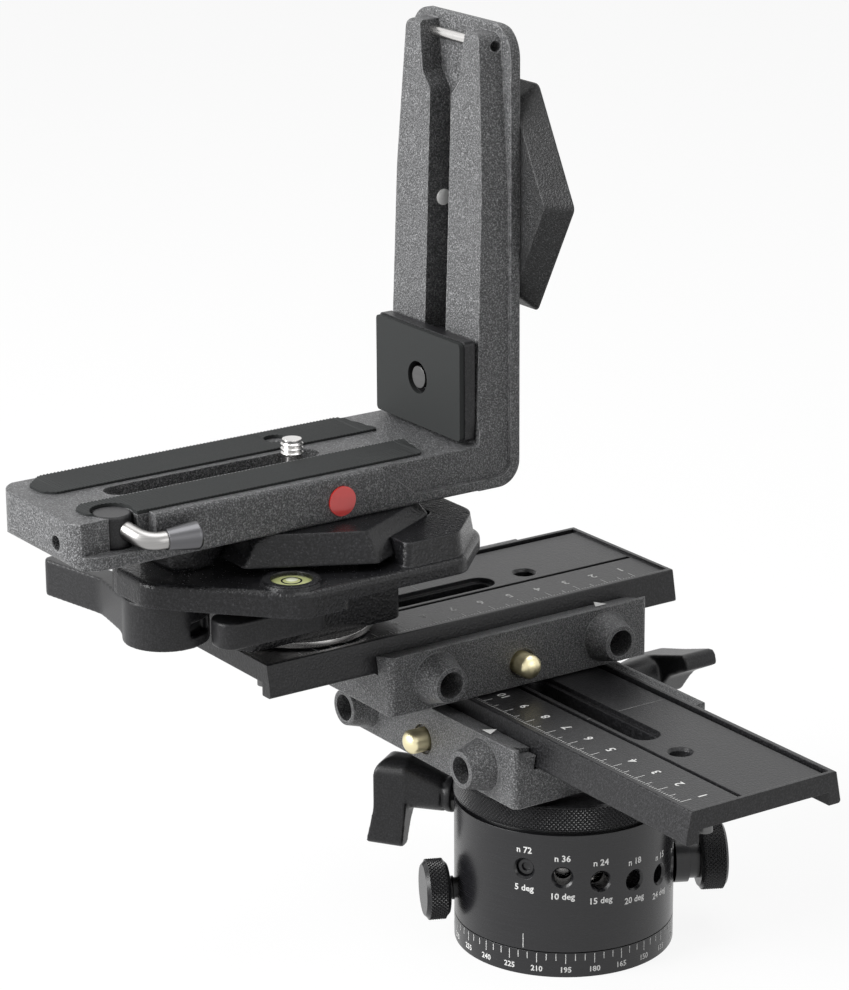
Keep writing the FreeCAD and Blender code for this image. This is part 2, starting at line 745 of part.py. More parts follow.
def lock_lever():
    """A lock lever on its own axes: hub along +Z from its seat, blade along +X."""
    top = LEVER_STEP + LEVER_THICK
    hub = rod(LEVER_HUB_R, (0, 0, 0), UP, LEVER_STEP + 1)
    groove = tube(LEVER_HUB_R + 1, LEVER_HUB_R - LEVER_GROOVE, (0, 0, LEVER_GROOVE_Z), UP, LEVER_GROOVE)
    hub = hub.cut(groove).fuse(lever_flare())
    silhouette = prism([
        (-LEVER_BACK, -LEVER_SIDE, LEVER_BACK_R), (LEVER_HEEL_X, -LEVER_SIDE, LEVER_HEEL_R),
        (LEVER_KNEE_X, -LEVER_KNEE_Y, LEVER_KNEE_R), (LEVER_REACH, LEVER_SIDE - LEVER_TIP_W, LEVER_TIP_R / 2),
        (LEVER_REACH, LEVER_SIDE, LEVER_TIP_R), (-LEVER_BACK, LEVER_SIDE, LEVER_BACK_R),
    ], 0, top + LEVER_FLARE + 1)
    side = prism_y([
        (LEVER_HUB_R, LEVER_STEP, LEVER_BACK_R), (LEVER_REACH + 1, LEVER_STEP + LEVER_LEAN, 0),
        (LEVER_REACH + 1, top + LEVER_FLARE, 0),
        (LEVER_HUB_R, top, LEVER_REACH), (-LEVER_BACK, top, LEVER_BACK_R), (-LEVER_BACK, LEVER_STEP, 0),
    ], -LEVER_SIDE - 1, LEVER_SIDE + 1)
    lever = hub.fuse(side.common(silhouette)).removeSplitter()
    return lever.cut(rod(LOCK_SCREW_R, (0, 0, 0), UP, LEVER_STEP + 1))


def placed_lever(shape, seat, outward, blade):
    """Puts a lever's seat at a point, its hub outward and its blade along a direction."""
    z = V(*outward)
    x = V(*blade)
    out = shape.copy()
    out.Placement = FreeCAD.Placement(V(*seat), FreeCAD.Rotation(x, z.cross(x), z, "ZXY"))
    return out


def pan_lock_lever():
    seat = out_at(PAN_LOCK_ANGLE, BODY_R + LEVER_HUB_OUT, PAN_LOCK_Z)
    return placed_lever(lock_lever(), seat, radial(PAN_LOCK_ANGLE), DOWN)


def pan_lock_screw():
    start = SPINDLE_R + FACE_GAP
    length = BODY_R + LEVER_HUB_OUT + LEVER_STEP - start
    return rod(LOCK_SCREW_R, out_at(PAN_LOCK_ANGLE, start, PAN_LOCK_Z), radial(PAN_LOCK_ANGLE), length)


# Slide unit, drawn on its own axes: x along the slide, z up from the saddle's foot

def flank(z, gap=0.0):
    """Half width of the plate's dovetail at a height, or of its channel with a gap."""
    return PLATE_FOOT_HALF - (z - FOOT_Z) * FLANK_SLOPE + gap


def slide_plate(holes=()):
    inner = PLATE_FOOT_HALF - FOOT_W
    web_z = PLATE_TOP - PLATE_WEB
    half = PLATE_L / 2
    plate = prism_x([
        (-PLATE_TOP_HALF, PLATE_TOP, 0.5), (-PLATE_FOOT_HALF, FOOT_Z, 0.8), (-inner, FOOT_Z, 0.4),
        (-inner, web_z, 0), (inner, web_z, 0), (inner, FOOT_Z, 0.4),
        (PLATE_FOOT_HALF, FOOT_Z, 0.8), (PLATE_TOP_HALF, PLATE_TOP, 0.5),
    ], -half, half)
    lip = PLATE_TOP_HALF - LIP_W
    floor = PLATE_TOP - RECESS
    top = PLATE_TOP + 1
    plate = plate.cut(box(-half + END_LIP, half - END_LIP, -lip, lip, floor, top))
    plate = plate.cut(box(-half + END_LIP, half - END_LIP, lip - RAIL_GROOVE_W, lip,
                          floor - RAIL_GROOVE_DEPTH, top))
    groove = SCALE_GROOVE_W / 2
    plate = plate.cut(box(-half + 2 * END_LIP, half - 2 * END_LIP, SCALE_GROOVE_Y - groove,
                          SCALE_GROOVE_Y + groove, floor - SCALE_GROOVE_DEPTH, top))
    middle = (SLOT_START + SLOT_END) / 2
    half_slot = (SLOT_END - SLOT_START) / 2
    step = (SLOT_STEP_W - SLOT_W) / 2
    plate = plate.cut(oblong(half_slot, SLOT_STEP_W / 2, floor - SLOT_STEP_DEPTH, top, middle))
    plate = plate.cut(oblong(half_slot - step, SLOT_W / 2, web_z - 1, top, middle))
    depth = PLATE_HOLE_MOUTH_R - PLATE_HOLE_R
    plate = plate.cut(rod(PLATE_HOLE_R, (PLATE_HOLE_X, 0, web_z - 1), UP, PLATE_WEB + 2))
    plate = plate.cut(cone(PLATE_HOLE_R, PLATE_HOLE_MOUTH_R, (PLATE_HOLE_X, 0, floor - depth), UP, depth))
    for x, y, radius in holes:
        plate = plate.cut(rod(radius, (x, y, web_z - 1), UP, PLATE_WEB + 2))
    return plate


def end_stops():
    """Two screws under the plate that stop it at each end of its travel."""
    web_z = PLATE_TOP - PLATE_WEB
    spots = [side * (PLATE_L / 2 - END_STOP_INSET) for side in (-1, 1)]
    return Part.makeCompound([
        rod(END_STOP_R, (x, STOP_LUG_Y, web_z - END_STOP_HANG), UP, END_STOP_HANG) for x in spots
    ])


def saddle(holes=()):
    half = SADDLE_L / 2
    plan = prism([
        (-half, -SADDLE_HALF_W, WALL_CORNER_R), (half, -SADDLE_HALF_W, WALL_CORNER_R),
        (half, JAW_SPLIT - JAW_GAP, 0), (-half, JAW_SPLIT - JAW_GAP, 0),
    ], 0, WALL_H)
    inner_low = flank(FLOOR_H, FLANK_GAP)
    bevel_z = WALL_H - BEVEL_DROP
    land = -SADDLE_HALF_W + BEVEL_LAND
    channel = prism_x([
        (-inner_low, FLOOR_H, 0), (JAW_SPLIT + 5, FLOOR_H, 0), (JAW_SPLIT + 5, WALL_H + 4, 0),
        (land, WALL_H + 4, 0), (land, WALL_H, 0), (-flank(bevel_z, FLANK_GAP), bevel_z, 0),
    ], -half - 1, half + 1)
    body = plan.cut(channel)
    notch_x = half - NOTCH_L
    body = body.cut(box(notch_x, half + 1, land, 0, WALL_H - NOTCH_DEPTH, WALL_H + 1))
    wall = -SADDLE_HALF_W
    for x in (-BOSS_X, BOSS_X):
        body = body.fuse(cone(BOSS_BASE_R, BOSS_END_R, (x, wall, BOSS_Z), (0, -1, 0), BOSS_OUT))
        end = wall - BOSS_OUT
        body = body.cut(rod(BOSS_BORE_R, (x, end, BOSS_Z), (0, 1, 0), BOSS_BORE_DEPTH))
        body = body.cut(rod(GUIDE_PIN_R, (x, end, BOSS_Z), (0, 1, 0), JAW_SPLIT - end))
    body = body.cut(rod(BUTTON_R + RUN_GAP, (0, wall - 1, BUTTON_Z), (0, 1, 0), 1 + BUTTON_L))
    body = body.cut(rod(BUTTON_COLLAR_R, (0, wall - 1, BUTTON_Z), (0, 1, 0), 1 + BUTTON_COLLAR_DEPTH))
    body = body.cut(rod(LOCK_SCREW_R + RUN_GAP, (0, LOCK_SCREW_END, LOCK_Z), (0, 1, 0), JAW_SPLIT))
    lug = STOP_LUG / 2
    body = body.fuse(box(-lug, lug, STOP_LUG_Y - lug, STOP_LUG_Y + lug, FLOOR_H - 1, FLOOR_H + STOP_LUG_H))
    for x, y in holes:
        body = body.cut(countersunk(x, y, -1, FLOOR_H))
    return body.removeSplitter()


def clamp_bar():
    """The saddle's far wall, a bar that the lock lever draws in along two guide pins."""
    half = SADDLE_L / 2
    inner_low = flank(FLOOR_H, FLANK_GAP)
    bevel_z = WALL_H - BEVEL_DROP
    bar = prism_x([
        (JAW_SPLIT, 0.5, 0.5), (SADDLE_HALF_W, 0.5, 0.8), (SADDLE_HALF_W, WALL_H, 0.5),
        (SADDLE_HALF_W - BEVEL_LAND, WALL_H, 0), (flank(bevel_z, FLANK_GAP), bevel_z, 0),
        (inner_low, FLOOR_H + 0.2, 0), (JAW_SPLIT, FLOOR_H + 0.2, 0),
    ], -half, half)
    for x in (-BOSS_X, BOSS_X):
        bar = bar.cut(rod(GUIDE_PIN_R, (x, 0, BOSS_Z), (0, 1, 0), SADDLE_HALF_W - 1))
    return bar.cut(rod(LOCK_SCREW_R + RUN_GAP, (0, 0, LOCK_Z), (0, 1, 0), SADDLE_HALF_W + 1))


def guide_pins():
    start = -SADDLE_HALF_W - BOSS_OUT + BOSS_BORE_DEPTH
    pins = []
    for x in (-BOSS_X, BOSS_X):
        pin = rod(GUIDE_PIN_R, (x, start, BOSS_Z), (0, 1, 0), SADDLE_HALF_W - 1 - start)
        head = rod(GUIDE_HEAD_R, (x, start - GUIDE_HEAD_L, BOSS_Z), (0, 1, 0), GUIDE_HEAD_L)
        socket = rod(GUIDE_PIN_R, (x, start - GUIDE_HEAD_L, BOSS_Z), (0, 1, 0), GUIDE_HEAD_L * 0.6)
        pins.append(pin.fuse(head).cut(socket))
    return Part.makeCompound(pins)


def slide_lock_screw():
    end = SADDLE_HALF_W + LEVER_HUB_OUT + LEVER_STEP
    return rod(LOCK_SCREW_R, (0, LOCK_SCREW_END + FACE_GAP, LOCK_Z), (0, 1, 0), end - LOCK_SCREW_END - FACE_GAP)


def slide_lock_lever():
    seat = (0, SADDLE_HALF_W + LEVER_HUB_OUT, LOCK_Z)
    rest = math.radians(LEVER_REST)
    left_hand = lock_lever().mirror(V(0, 0, 0), V(0, 1, 0))
    return placed_lever(left_hand, seat, (0, 1, 0), (math.cos(rest), 0, math.sin(rest)))


def stop_button():
    start = -SADDLE_HALF_W - BUTTON_OUT
    length = BUTTON_OUT + BUTTON_L - BUTTON_SPRING_L
    button = rod(BUTTON_R, (0, start, BUTTON_Z), (0, 1, 0), length)
    button = button.makeFillet(BUTTON_BEVEL, [e for e in button.Edges if e.Closed and e.BoundBox.YMax < start + 0.1])
    return button.fuse(rod(BUTTON_STEM_R, (0, start + length, BUTTON_Z), (0, 1, 0), BUTTON_SPRING_L / 3))


def button_spring():
    start = -SADDLE_HALF_W + BUTTON_L - BUTTON_SPRING_L + FACE_GAP
    mean_r = (BUTTON_STEM_R + BUTTON_R) / 2
    spring = coil(mean_r, BUTTON_WIRE_R, BUTTON_SPRING_L - 2 * FACE_GAP, BUTTON_TURNS)
    return along(spring, (0, start, BUTTON_Z), (0, 1, 0))


def lower_at(shape):
    return moved(shape, LOWER_SADDLE_X, 0, LOWER_Z)


def upper_at(shape):
    return moved(shape, UPPER_SADDLE_X, UPPER_SADDLE_Y, UPPER_Z, 90)


def lower_saddle():
    spots = [(x - LOWER_SADDLE_X, y) for x, y in saddle_screw_spots()]
    return lower_at(saddle(spots))


def cross_screw_spots_on_saddle():
    """The cross screws in the upper saddle's own axes."""
    return [(-UPPER_SADDLE_Y, UPPER_SADDLE_X - x) for x in CROSS_SCREW_XS]


def upper_saddle():
    return upper_at(saddle(cross_screw_spots_on_saddle()))


def cross_screws():
    low = -PLATE_WEB
    screws = [countersunk(x, y, low, FLOOR_H) for x, y in cross_screw_spots_on_saddle()]
    return upper_at(Part.makeCompound(screws))


def lower_plate():
    centre = LOWER_SADDLE_X + LOWER_PLATE_OFFSET
    holes = [(x - centre, 0, SADDLE_SCREW_R) for x in CROSS_SCREW_XS]
    return lower_at(moved(slide_plate(holes), LOWER_PLATE_OFFSET))


def upper_plate():
    centre_y = UPPER_SADDLE_Y + UPPER_PLATE_OFFSET
    holes = [(CLAMP_Y - centre_y, UPPER_SADDLE_X - CLAMP_X, CLAMP_BOLT_R)]
    return upper_at(moved(slide_plate(holes), UPPER_PLATE_OFFSET))


# Quick release clamp, drawn in plan about the hexagonal plate's centre

def at_clamp(shape, z=0.0):
    return moved(shape, CLAMP_X, CLAMP_Y, z)


def hexagon(inset=0.0, radius=0.0):
    """Plan corners of the dovetail hexagon, each side set in by a distance."""
    run = HEX_APEX_X - HEX_CORNER_X
    side = math.hypot(run, HEX_FLAT_Y)
    apex = HEX_APEX_X - inset * side / HEX_FLAT_Y
    flat = HEX_FLAT_Y - inset
    corner = apex - run * flat / HEX_FLAT_Y
    return [(corner, -flat, radius), (apex, 0, radius), (corner, flat, radius),
            (-corner, flat, radius), (-apex, 0, radius), (-corner, -flat, radius)]


def hex_plate(thickness, gap=0.0):
    """The dovetail hexagon, wide at z = 0 and undercut towards its top."""
    return loft(hexagon(-gap, HEX_CORNER_R), 0, hexagon(HEX_UNDERCUT - gap, HEX_CORNER_R), thickness)


def clamp_disc():
    disc = tube(CLAMP_DISC_R, CLAMP_BOLT_R, (0, 0, 0), UP, CLAMP_DISC_H)
    return at_clamp(disc, CLAMP_Z)


def clamp_bolt():
    head_z = CLAMP_Z - PLATE_WEB - CLAMP_BOLT_HEAD_H
    bolt = rod(CLAMP_BOLT_R, (0, 0, head_z), UP, DECK_Z + DECK_H - head_z)
    bolt = bolt.fuse(rod(CLAMP_BOLT_HEAD_R, (0, 0, head_z), UP, CLAMP_BOLT_HEAD_H))
    bolt = bolt.cut(rod(CLAMP_BOLT_R / 2, (0, 0, head_z), UP, CLAMP_BOLT_HEAD_H))
    return at_clamp(bolt)


def mirrored(corners):
    """Corners on the +X side, taken round and repeated on the -X side."""
    return corners + [(-x, y, r) for x, y, r in reversed(corners)]


def nose_corners():
    return [(DECK_NOSE_X - DECK_NOSE_HALF, DECK_NOSE_Y, DECK_NOSE_R),
            (DECK_NOSE_X + DECK_NOSE_HALF, DECK_NOSE_Y, DECK_NOSE_R)]


def clamp_deck():
    """The clamp's deck: thick at its blunt nose, thinner behind, with a rounded top edge."""
    sides = mirrored([(DECK_HALF_X, DECK_SHOULDER_Y, DECK_SHOULDER_R), (DECK_HALF_X, DECK_BACK_Y, DECK_SHOULDER_R),
                      (DECK_TAIL_X, DECK_TAIL_Y, DECK_TAIL_R)])
    deck = prism(nose_corners() + sides, SEAT_Z - DECK_THIN, SEAT_Z)
    deck = deck.makeFillet(DECK_BEVEL, [e for e in deck.Edges if e.BoundBox.ZMin > SEAT_Z - 0.01])
    under = mirrored([(DECK_HALF_X, DECK_SHOULDER_Y, DECK_SHOULDER_R), (DECK_HALF_X, DECK_STEP_Y, DECK_STEP_R)])
    return deck.fuse(prism(nose_corners() + under, DECK_Z, SEAT_Z - DECK_THIN))


def jaw_corners(lean):
    side = DECK_HALF_X - JAW_INSET - lean
    return mirrored([(side, JAW_FRONT + lean, JAW_END_R), (side, DECK_BACK_Y, DECK_SHOULDER_R),
                     (DECK_TAIL_X, DECK_TAIL_Y - JAW_INSET - lean, DECK_TAIL_R)])


def fixed_jaw():
    """The low jaw cast on the deck, which hugs the +Y half of the hexagon."""
    return loft(jaw_corners(0), SEAT_Z - JAW_ROOT, jaw_corners(JAW_LEAN), HEX_Z + JAW_TOP)


def level_boss():
    foot_z = SEAT_Z - LEVEL_CUP_RISE
    return cone(LEVEL_BOSS_R, LEVEL_CUP_R + LEVEL_BOSS_LIP, (LEVEL_X, LEVEL_Y, foot_z), UP,
                2 * LEVEL_CUP_RISE - LEVEL_BOSS_LIP)


def clamp_body():
    hub = prism(mirrored([(HUB_HALF_X, HUB_FRONT, HUB_CORNER_R), (HUB_HALF_X, HUB_BACK, HUB_CORNER_R)]),
                HUB_Z, SEAT_Z - DECK_THIN)
    seat = prism(hexagon(SEAT_INSET, HEX_CORNER_R), SEAT_Z, HEX_Z)
    body = hub.fuse(clamp_deck()).fuse(seat).fuse(fixed_jaw()).fuse(level_boss())
    body = body.cut(moved(hex_plate(BASE_HEX_T + 1, HEX_GAP), 0, 0, HEX_Z))
    body = body.cut(rod(CLAMP_BOLT_R, (0, 0, HUB_Z), UP, SEAT_Z - HUB_Z))
    body = body.cut(rod(MAIN_LEVER_PIN_R, (LEVER_PIVOT_X, LEVER_PIVOT_Y, DECK_Z), UP, DECK_THIN))
    body = body.cut(rod(CATCH_PIN_R, (CATCH_PIVOT_X, CATCH_PIVOT_Y, DECK_Z), UP, DECK_THIN))
    body = body.cut(rod(LEVEL_CUP_R, (LEVEL_X, LEVEL_Y, level_z()), UP, LEVEL_CUP_H + 1))
    return at_clamp(body.removeSplitter())


def jaw_back(z):
    """Y of the moving jaw's face, which lies along the hexagon's -Y flank."""
    return -HEX_FLAT_Y - HEX_GAP + HEX_UNDERCUT * (z - HEX_Z) / BASE_HEX_T


def moving_jaw():
    """The sliding jaw that bears on the hexagon's -Y flat."""
    front = -HEX_FLAT_Y - MOVING_JAW_DEPTH
    levels = (SEAT_Z + FACE_GAP, HEX_Z + JAW_TOP)
    low, high = [
        mirrored([(MOVING_JAW_HALF, front, MOVING_JAW_R), (MOVING_JAW_HALF, jaw_back(z), MOVING_JAW_EDGE_R)])
        for z in levels
    ]
    return at_clamp(loft(low, levels[0], high, levels[1]))


def main_lever():
    """The clamp's lever: a round barrel under the deck's nose and a gently curved handle."""
    top = DECK_Z - MAIN_LEVER_GAP
    low = top - MAIN_LEVER_H
    barrel = rod(MAIN_LEVER_R, (0, 0, low), UP, MAIN_LEVER_H)
    handle = prism([
        (0, -MAIN_LEVER_R, 0), (-HANDLE_WAIST_X, -HANDLE_WAIST, HANDLE_WAIST_R),
        (-MAIN_LEVER_REACH, -HANDLE_TIP, HANDLE_TIP_R), (-MAIN_LEVER_REACH, HANDLE_T - HANDLE_TIP, HANDLE_TIP_R),
        (-HANDLE_WAIST_X, HANDLE_T - HANDLE_WAIST, HANDLE_WAIST_R), (0, 0, 0),
    ], low + HANDLE_RISE, top - MAIN_LEVER_GAP)
    lever = barrel.fuse(handle).cut(rod(MAIN_LEVER_PIN_R + RUN_GAP, (0, 0, low), UP, MAIN_LEVER_H))
    window_z = low + HANDLE_RISE + 1
    window = box(MAIN_LEVER_R - WINDOW_DEPTH, MAIN_LEVER_R + 1, -WINDOW_W / 2, WINDOW_W / 2,
                 window_z, window_z + WINDOW_H)
    lever = lever.cut(moved(window, turn=WINDOW_ANGLE))
    return at_clamp(moved(lever.removeSplitter(), LEVER_PIVOT_X, LEVER_PIVOT_Y))


def catch_top():
    return DECK_Z - CATCH_DROP


def safety_catch():
    """The small lever that keeps the main lever from opening by itself."""
    low = catch_top() - CATCH_H
    arm = prism(mirrored([(CATCH_HALF, -CATCH_REACH, CATCH_TIP_R), (CATCH_HALF, CATCH_TAIL, CATCH_PIN_R)]),
                low, catch_top())
    boss_h = CATCH_DROP - MAIN_LEVER_GAP
    catch = arm.fuse(rod(CATCH_BOSS_R, (0, 0, catch_top()), UP, boss_h))
    catch = catch.cut(rod(CATCH_PIN_R + RUN_GAP, (0, 0, low), UP, CATCH_H + boss_h))
    return at_clamp(moved(catch, CATCH_PIVOT_X, CATCH_PIVOT_Y))


def clamp_pins():
    pin_z = DECK_Z - MAIN_LEVER_GAP - MAIN_LEVER_H
    catch_z = catch_top() - CATCH_H
    top = DECK_Z + DECK_THIN
    pin = rod(MAIN_LEVER_PIN_R, (LEVER_PIVOT_X, LEVER_PIVOT_Y, pin_z), UP, top - pin_z)
    small = rod(CATCH_PIN_R, (CATCH_PIVOT_X, CATCH_PIVOT_Y, catch_z), UP, top - catch_z)
    return at_clamp(Part.makeCompound([pin, small]))


def level_z():
    return SEAT_Z + LEVEL_CUP_RISE - LEVEL_CUP_H


def vial_z():
    return level_z() + LEVEL_CUP_H - LEVEL_VIAL_DROP - LEVEL_VIAL_H


def level_cup():
    cup = rod(LEVEL_CUP_R, (LEVEL_X, LEVEL_Y, level_z()), UP, LEVEL_CUP_H)
    return at_clamp(cup.cut(rod(LEVEL_VIAL_R, (LEVEL_X, LEVEL_Y, vial_z()), UP, LEVEL_CUP_H)))


def level_vial():
    return at_clamp(rod(LEVEL_VIAL_R, (LEVEL_X, LEVEL_Y, vial_z()), UP, LEVEL_VIAL_H))


# Elbow bracket, drawn about its middle: y runs back from 0 at the arm's outer face

def at_bracket(shape, z=0.0):
    return moved(shape, BRACKET_X, BRACKET_BACK_Y, z)


def arm_face(z):
    """Y of the arm's inner face, which leans back towards the top."""
    share = (z - BASE_TOP) / (ARM_TOP - BASE_TOP)
    return -(ARM_T_LOW + (ARM_T_TOP - ARM_T_LOW) * share)


def bracket_profile():
    """The L seen from the side, as (y, z, radius) corners."""
    return [(0, BRACKET_Z, BEND_R), (0, RIM_TOP, EDGE_R), (-RIM_W, RIM_TOP, EDGE_R / 2),
            (-RIM_W, ARM_TOP, 0), (arm_face(ARM_TOP), ARM_TOP, EDGE_R),
            (arm_face(BASE_TOP), BASE_TOP, INNER_CORNER_R), (-BRACKET_L, BASE_TOP, EDGE_R),
            (-BRACKET_L, BRACKET_Z, 2 * EDGE_R)]


def arm_sides(low, middle, top, top_radius):
    """The arm seen from the front, as (x, z, radius) corners, from its widths at three levels."""
    half = BRACKET_W / 2
    return mirrored([
        (half, BRACKET_Z, 0), (half, BASE_TOP, ARM_FOOT_R), (low, BASE_TOP + ARM_FOOT_H, ARM_FOOT_R),
        (middle, BRACKET_Z + ARM_MID_RISE, ARM_SIDE_R), (top, ARM_TOP, top_radius),
    ])


def arm_body():
    """The arm: a drafted body that widens towards its back, and a full-width rim behind it."""
    half = BRACKET_W / 2
    front = arm_sides(ARM_HALF_LOW, ARM_HALF_MID, ARM_HALF_TOP, ARM_TOP_R)
    back = arm_sides(ARM_HALF_LOW + ARM_DRAFT / 2, ARM_HALF_MID + ARM_DRAFT, ARM_HALF_TOP + ARM_DRAFT, ARM_TOP_R)
    core = loft_y(front, -ARM_T_LOW - 1, back, -RIM_W)
    rim = prism_y(mirrored([(half, BRACKET_Z, 0), (half, RIM_TOP, ARM_RIM_TOP_R)]), -RIM_W, 0)
    return core.fuse(rim)


def elbow_bracket():
    half = BRACKET_W / 2
    base = prism_y(mirrored([(half, BRACKET_Z, EDGE_R / 2), (half, BASE_TOP, EDGE_R)]), -BRACKET_L, -ARM_T_LOW)
    body = prism_x(bracket_profile(), -half, half).common(base.fuse(arm_body()))
    plan = prism(mirrored([(half, -BRACKET_L, NOSE_R), (half, 0, 0)]), BRACKET_Z, RIM_TOP)
    body = body.common(plan)
    body = body.cut(side_panel(1)).cut(side_panel(-1))
    body = body.cut(base_slot()).cut(arm_slot()).cut(strip_seats())
    body = body.cut(swing_recess()).cut(swing_pocket()).cut(swing_mouth()).cut(badge_seat()).cut(end_socket())
    body = body.cut(rod(SLOT_PIN_R, (-half, -SLOT_PIN_DEPTH, ARM_TOP - SLOT_PIN_DROP), (1, 0, 0), BRACKET_W))
    hole_z = BRACKET_Z + ARM_HEX_RISE
    body = body.cut(rod(HEX_HOLE_R, (0, -ARM_T_LOW, hole_z), (0, 1, 0), ARM_T_LOW + 1))
    return at_bracket(body)


def side_panel(side):
    """The shallow panel inside the rim on one side of the elbow."""
    half = BRACKET_W / 2
    corners = [(-RIM_W, RIM_TOP + 1, 0), (-RIM_W, BRACKET_Z + RIM_W, BEND_R - RIM_W),
               (-PANEL_FADE_Y, BRACKET_Z + RIM_W, RIM_W), (-PANEL_FADE_Y - BASE_T, BASE_TOP + 1, 0),
               (-BRACKET_L / 2, BASE_TOP + 1, 0), (-BRACKET_L / 2, RIM_TOP + 1, 0)]
    x0 = side * (half - PANEL_DEPTH)
    return prism_x(corners, min(x0, side * (half + 1)), max(x0, side * (half + 1)))


def base_slot():
    length = BASE_SLOT_FAR - BASE_SLOT_NEAR
    middle = -(BASE_SLOT_FAR + BASE_SLOT_NEAR) / 2
    slot = moved(oblong(length / 2, BASE_SLOT_W / 2, BRACKET_Z - 1, BASE_TOP + 1), 0, middle, 0, 90)
    step = (BASE_SLOT_STEP_W - BASE_SLOT_W) / 2
    wide = oblong(length / 2 + step, BASE_SLOT_STEP_W / 2, BRACKET_Z - 1, BRACKET_Z + BASE_SLOT_STEP_H)
    return slot.fuse(moved(wide, 0, middle, 0, 90))


def arm_slot():
    low = BRACKET_Z + ARM_SLOT_LOW
    neck = BRACKET_Z + ARM_SLOT_NECK
    half = ARM_SLOT_W / 2
    side = [(half, low, ARM_SLOT_R), (half, neck, ARM_SLOT_R), (FLARE_HALF, neck + FLARE_RISE, ARM_SLOT_R),
            (FLARE_TOP_HALF, ARM_TOP + 1, 0)]
    corners = mirrored(side)
    return prism_y(corners, -ARM_T_LOW - 1, -RIM_W)


def strip_corners(side, inset):
    inner = STRIP_INNER + inset
    outer = (STRIP_OUTER if side > 0 else STRIP_OUTER_LEFT) - inset
    near = -STRIP_NEAR - inset
    far = -STRIP_FAR + inset
    taper = STRIP_TAPER
    corners = [(inner, near, 1.0), (outer, near - taper / 2, 2.5), (outer, far + taper, 4.0),
               (outer - taper, far, 2.5), (inner + taper / 2, far, 2.5), (inner, far + taper / 2, 2.0)]
    return [(side * x, y, r) for x, y, r in corners]


def strip_seats():
    return Part.makeCompound([
        prism(strip_corners(side, 0), BASE_TOP - STRIP_SEAT, BASE_TOP + 1) for side in (-1, 1)
    ])


def grip_strips():
    cutout = swing_pocket().fuse(swing_recess()).fuse(swing_mouth())
    strips = []
    for side in (-1, 1):
        strip = prism(strip_corners(side, 0), BASE_TOP - STRIP_SEAT, BASE_TOP - STRIP_SEAT + STRIP_T)
        strips.append(strip.cut(cutout))
    notch = rod(STRIP_NOTCH_R, (-STRIP_OUTER + STRIP_NOTCH_INSET, -STRIP_NOTCH_Y, BASE_TOP - 1), UP, STRIP_T + 1)
    strips[0] = strips[0].cut(notch)
    return at_bracket(Part.makeCompound(strips))


def swing_recess():
    """Where the bracket's side is set in beside the swing lever, down to a ledge."""
    half = BRACKET_W / 2
    return box(half - SWING_RECESS, half + 1, -BRACKET_L - 1, -SWING_RECESS_Y, BRACKET_Z + SWING_LEDGE, BASE_TOP + 2)


def swing_pocket():
    """The round pocket for the swing lever's barrel, open at the top."""
    return rod(SWING_POCKET_R, (SWING_X, -SWING_Y, BRACKET_Z + SWING_LEDGE), UP, BASE_T)


def swing_mouth():
    """The opening in the side that the swing lever's rod comes out of."""
    return box(SWING_X, BRACKET_W / 2, -SWING_Y - SWING_MOUTH_FRONT, -SWING_Y + SWING_MOUTH_BACK,
               BRACKET_Z + SWING_LEDGE, BASE_TOP + 2)


def badge_seat():
    half = BRACKET_W / 2
    return rod(BADGE_R, (half - BADGE_SEAT, -BADGE_Y, BRACKET_Z + BADGE_RISE), (1, 0, 0), 2)


def badge_disc():
    half = BRACKET_W / 2
    disc = rod(BADGE_R, (half - BADGE_SEAT, -BADGE_Y, BRACKET_Z + BADGE_RISE), (1, 0, 0), BADGE_T)
    return at_bracket(disc)


def end_socket():
    return rod(END_SOCKET_R, (END_SOCKET_X, -BRACKET_L, BRACKET_Z + BADGE_RISE), (0, 1, 0), END_SOCKET_DEPTH)


def slot_pin():
    length = 2 * FLARE_TOP_HALF + 4
    return at_bracket(rod(SLOT_PIN_R, (-length / 2, -SLOT_PIN_DEPTH, ARM_TOP - SLOT_PIN_DROP), (1, 0, 0), length))


def base_hex_plate():
    plate = moved(hex_plate(BASE_HEX_T), CLAMP_X, CLAMP_Y, HEX_Z)
    length = BASE_SLOT_FAR - BASE_SLOT_NEAR
    middle = BRACKET_BACK_Y - (BASE_SLOT_FAR + BASE_SLOT_NEAR) / 2
    slot = moved(oblong(length / 2 + 3, BASE_SLOT_STEP_W / 2, HEX_Z - 1, BRACKET_Z + 1), BRACKET_X, middle, 0, 90)
    bridge = box(BRACKET_X - 30, BRACKET_X + 30, CLAMP_Y - 60, CLAMP_Y - HEX_FLAT_Y + 8, HEX_Z - 1, BRACKET_Z + 1)
    return plate.cut(slot.cut(bridge))


def arm_hex_plate():
    plate = hex_plate(ARM_HEX_T).cut(rod(HEX_HOLE_R, (0, 0, 0), UP, ARM_HEX_T))
    z = BRACKET_Z + ARM_HEX_RISE
    turn = FreeCAD.Rotation(V(1, 0, 0), V(0, 0, 1), V(0, -1, 0), "XYZ")
    plate.Placement = FreeCAD.Placement(V(BRACKET_X, BRACKET_BACK_Y + ARM_HEX_T, z), turn)
    return plate


def screw_washer():
    z1 = BRACKET_Z + BASE_SLOT_STEP_H - FACE_GAP / 2
    washer = tube(CAMERA_SCREW_HEAD_R, CAMERA_SCREW_R + RUN_GAP,
                  (0, -CAMERA_SCREW_Y, z1 - SCREW_WASHER_T), UP, SCREW_WASHER_T)
    return at_bracket(washer)


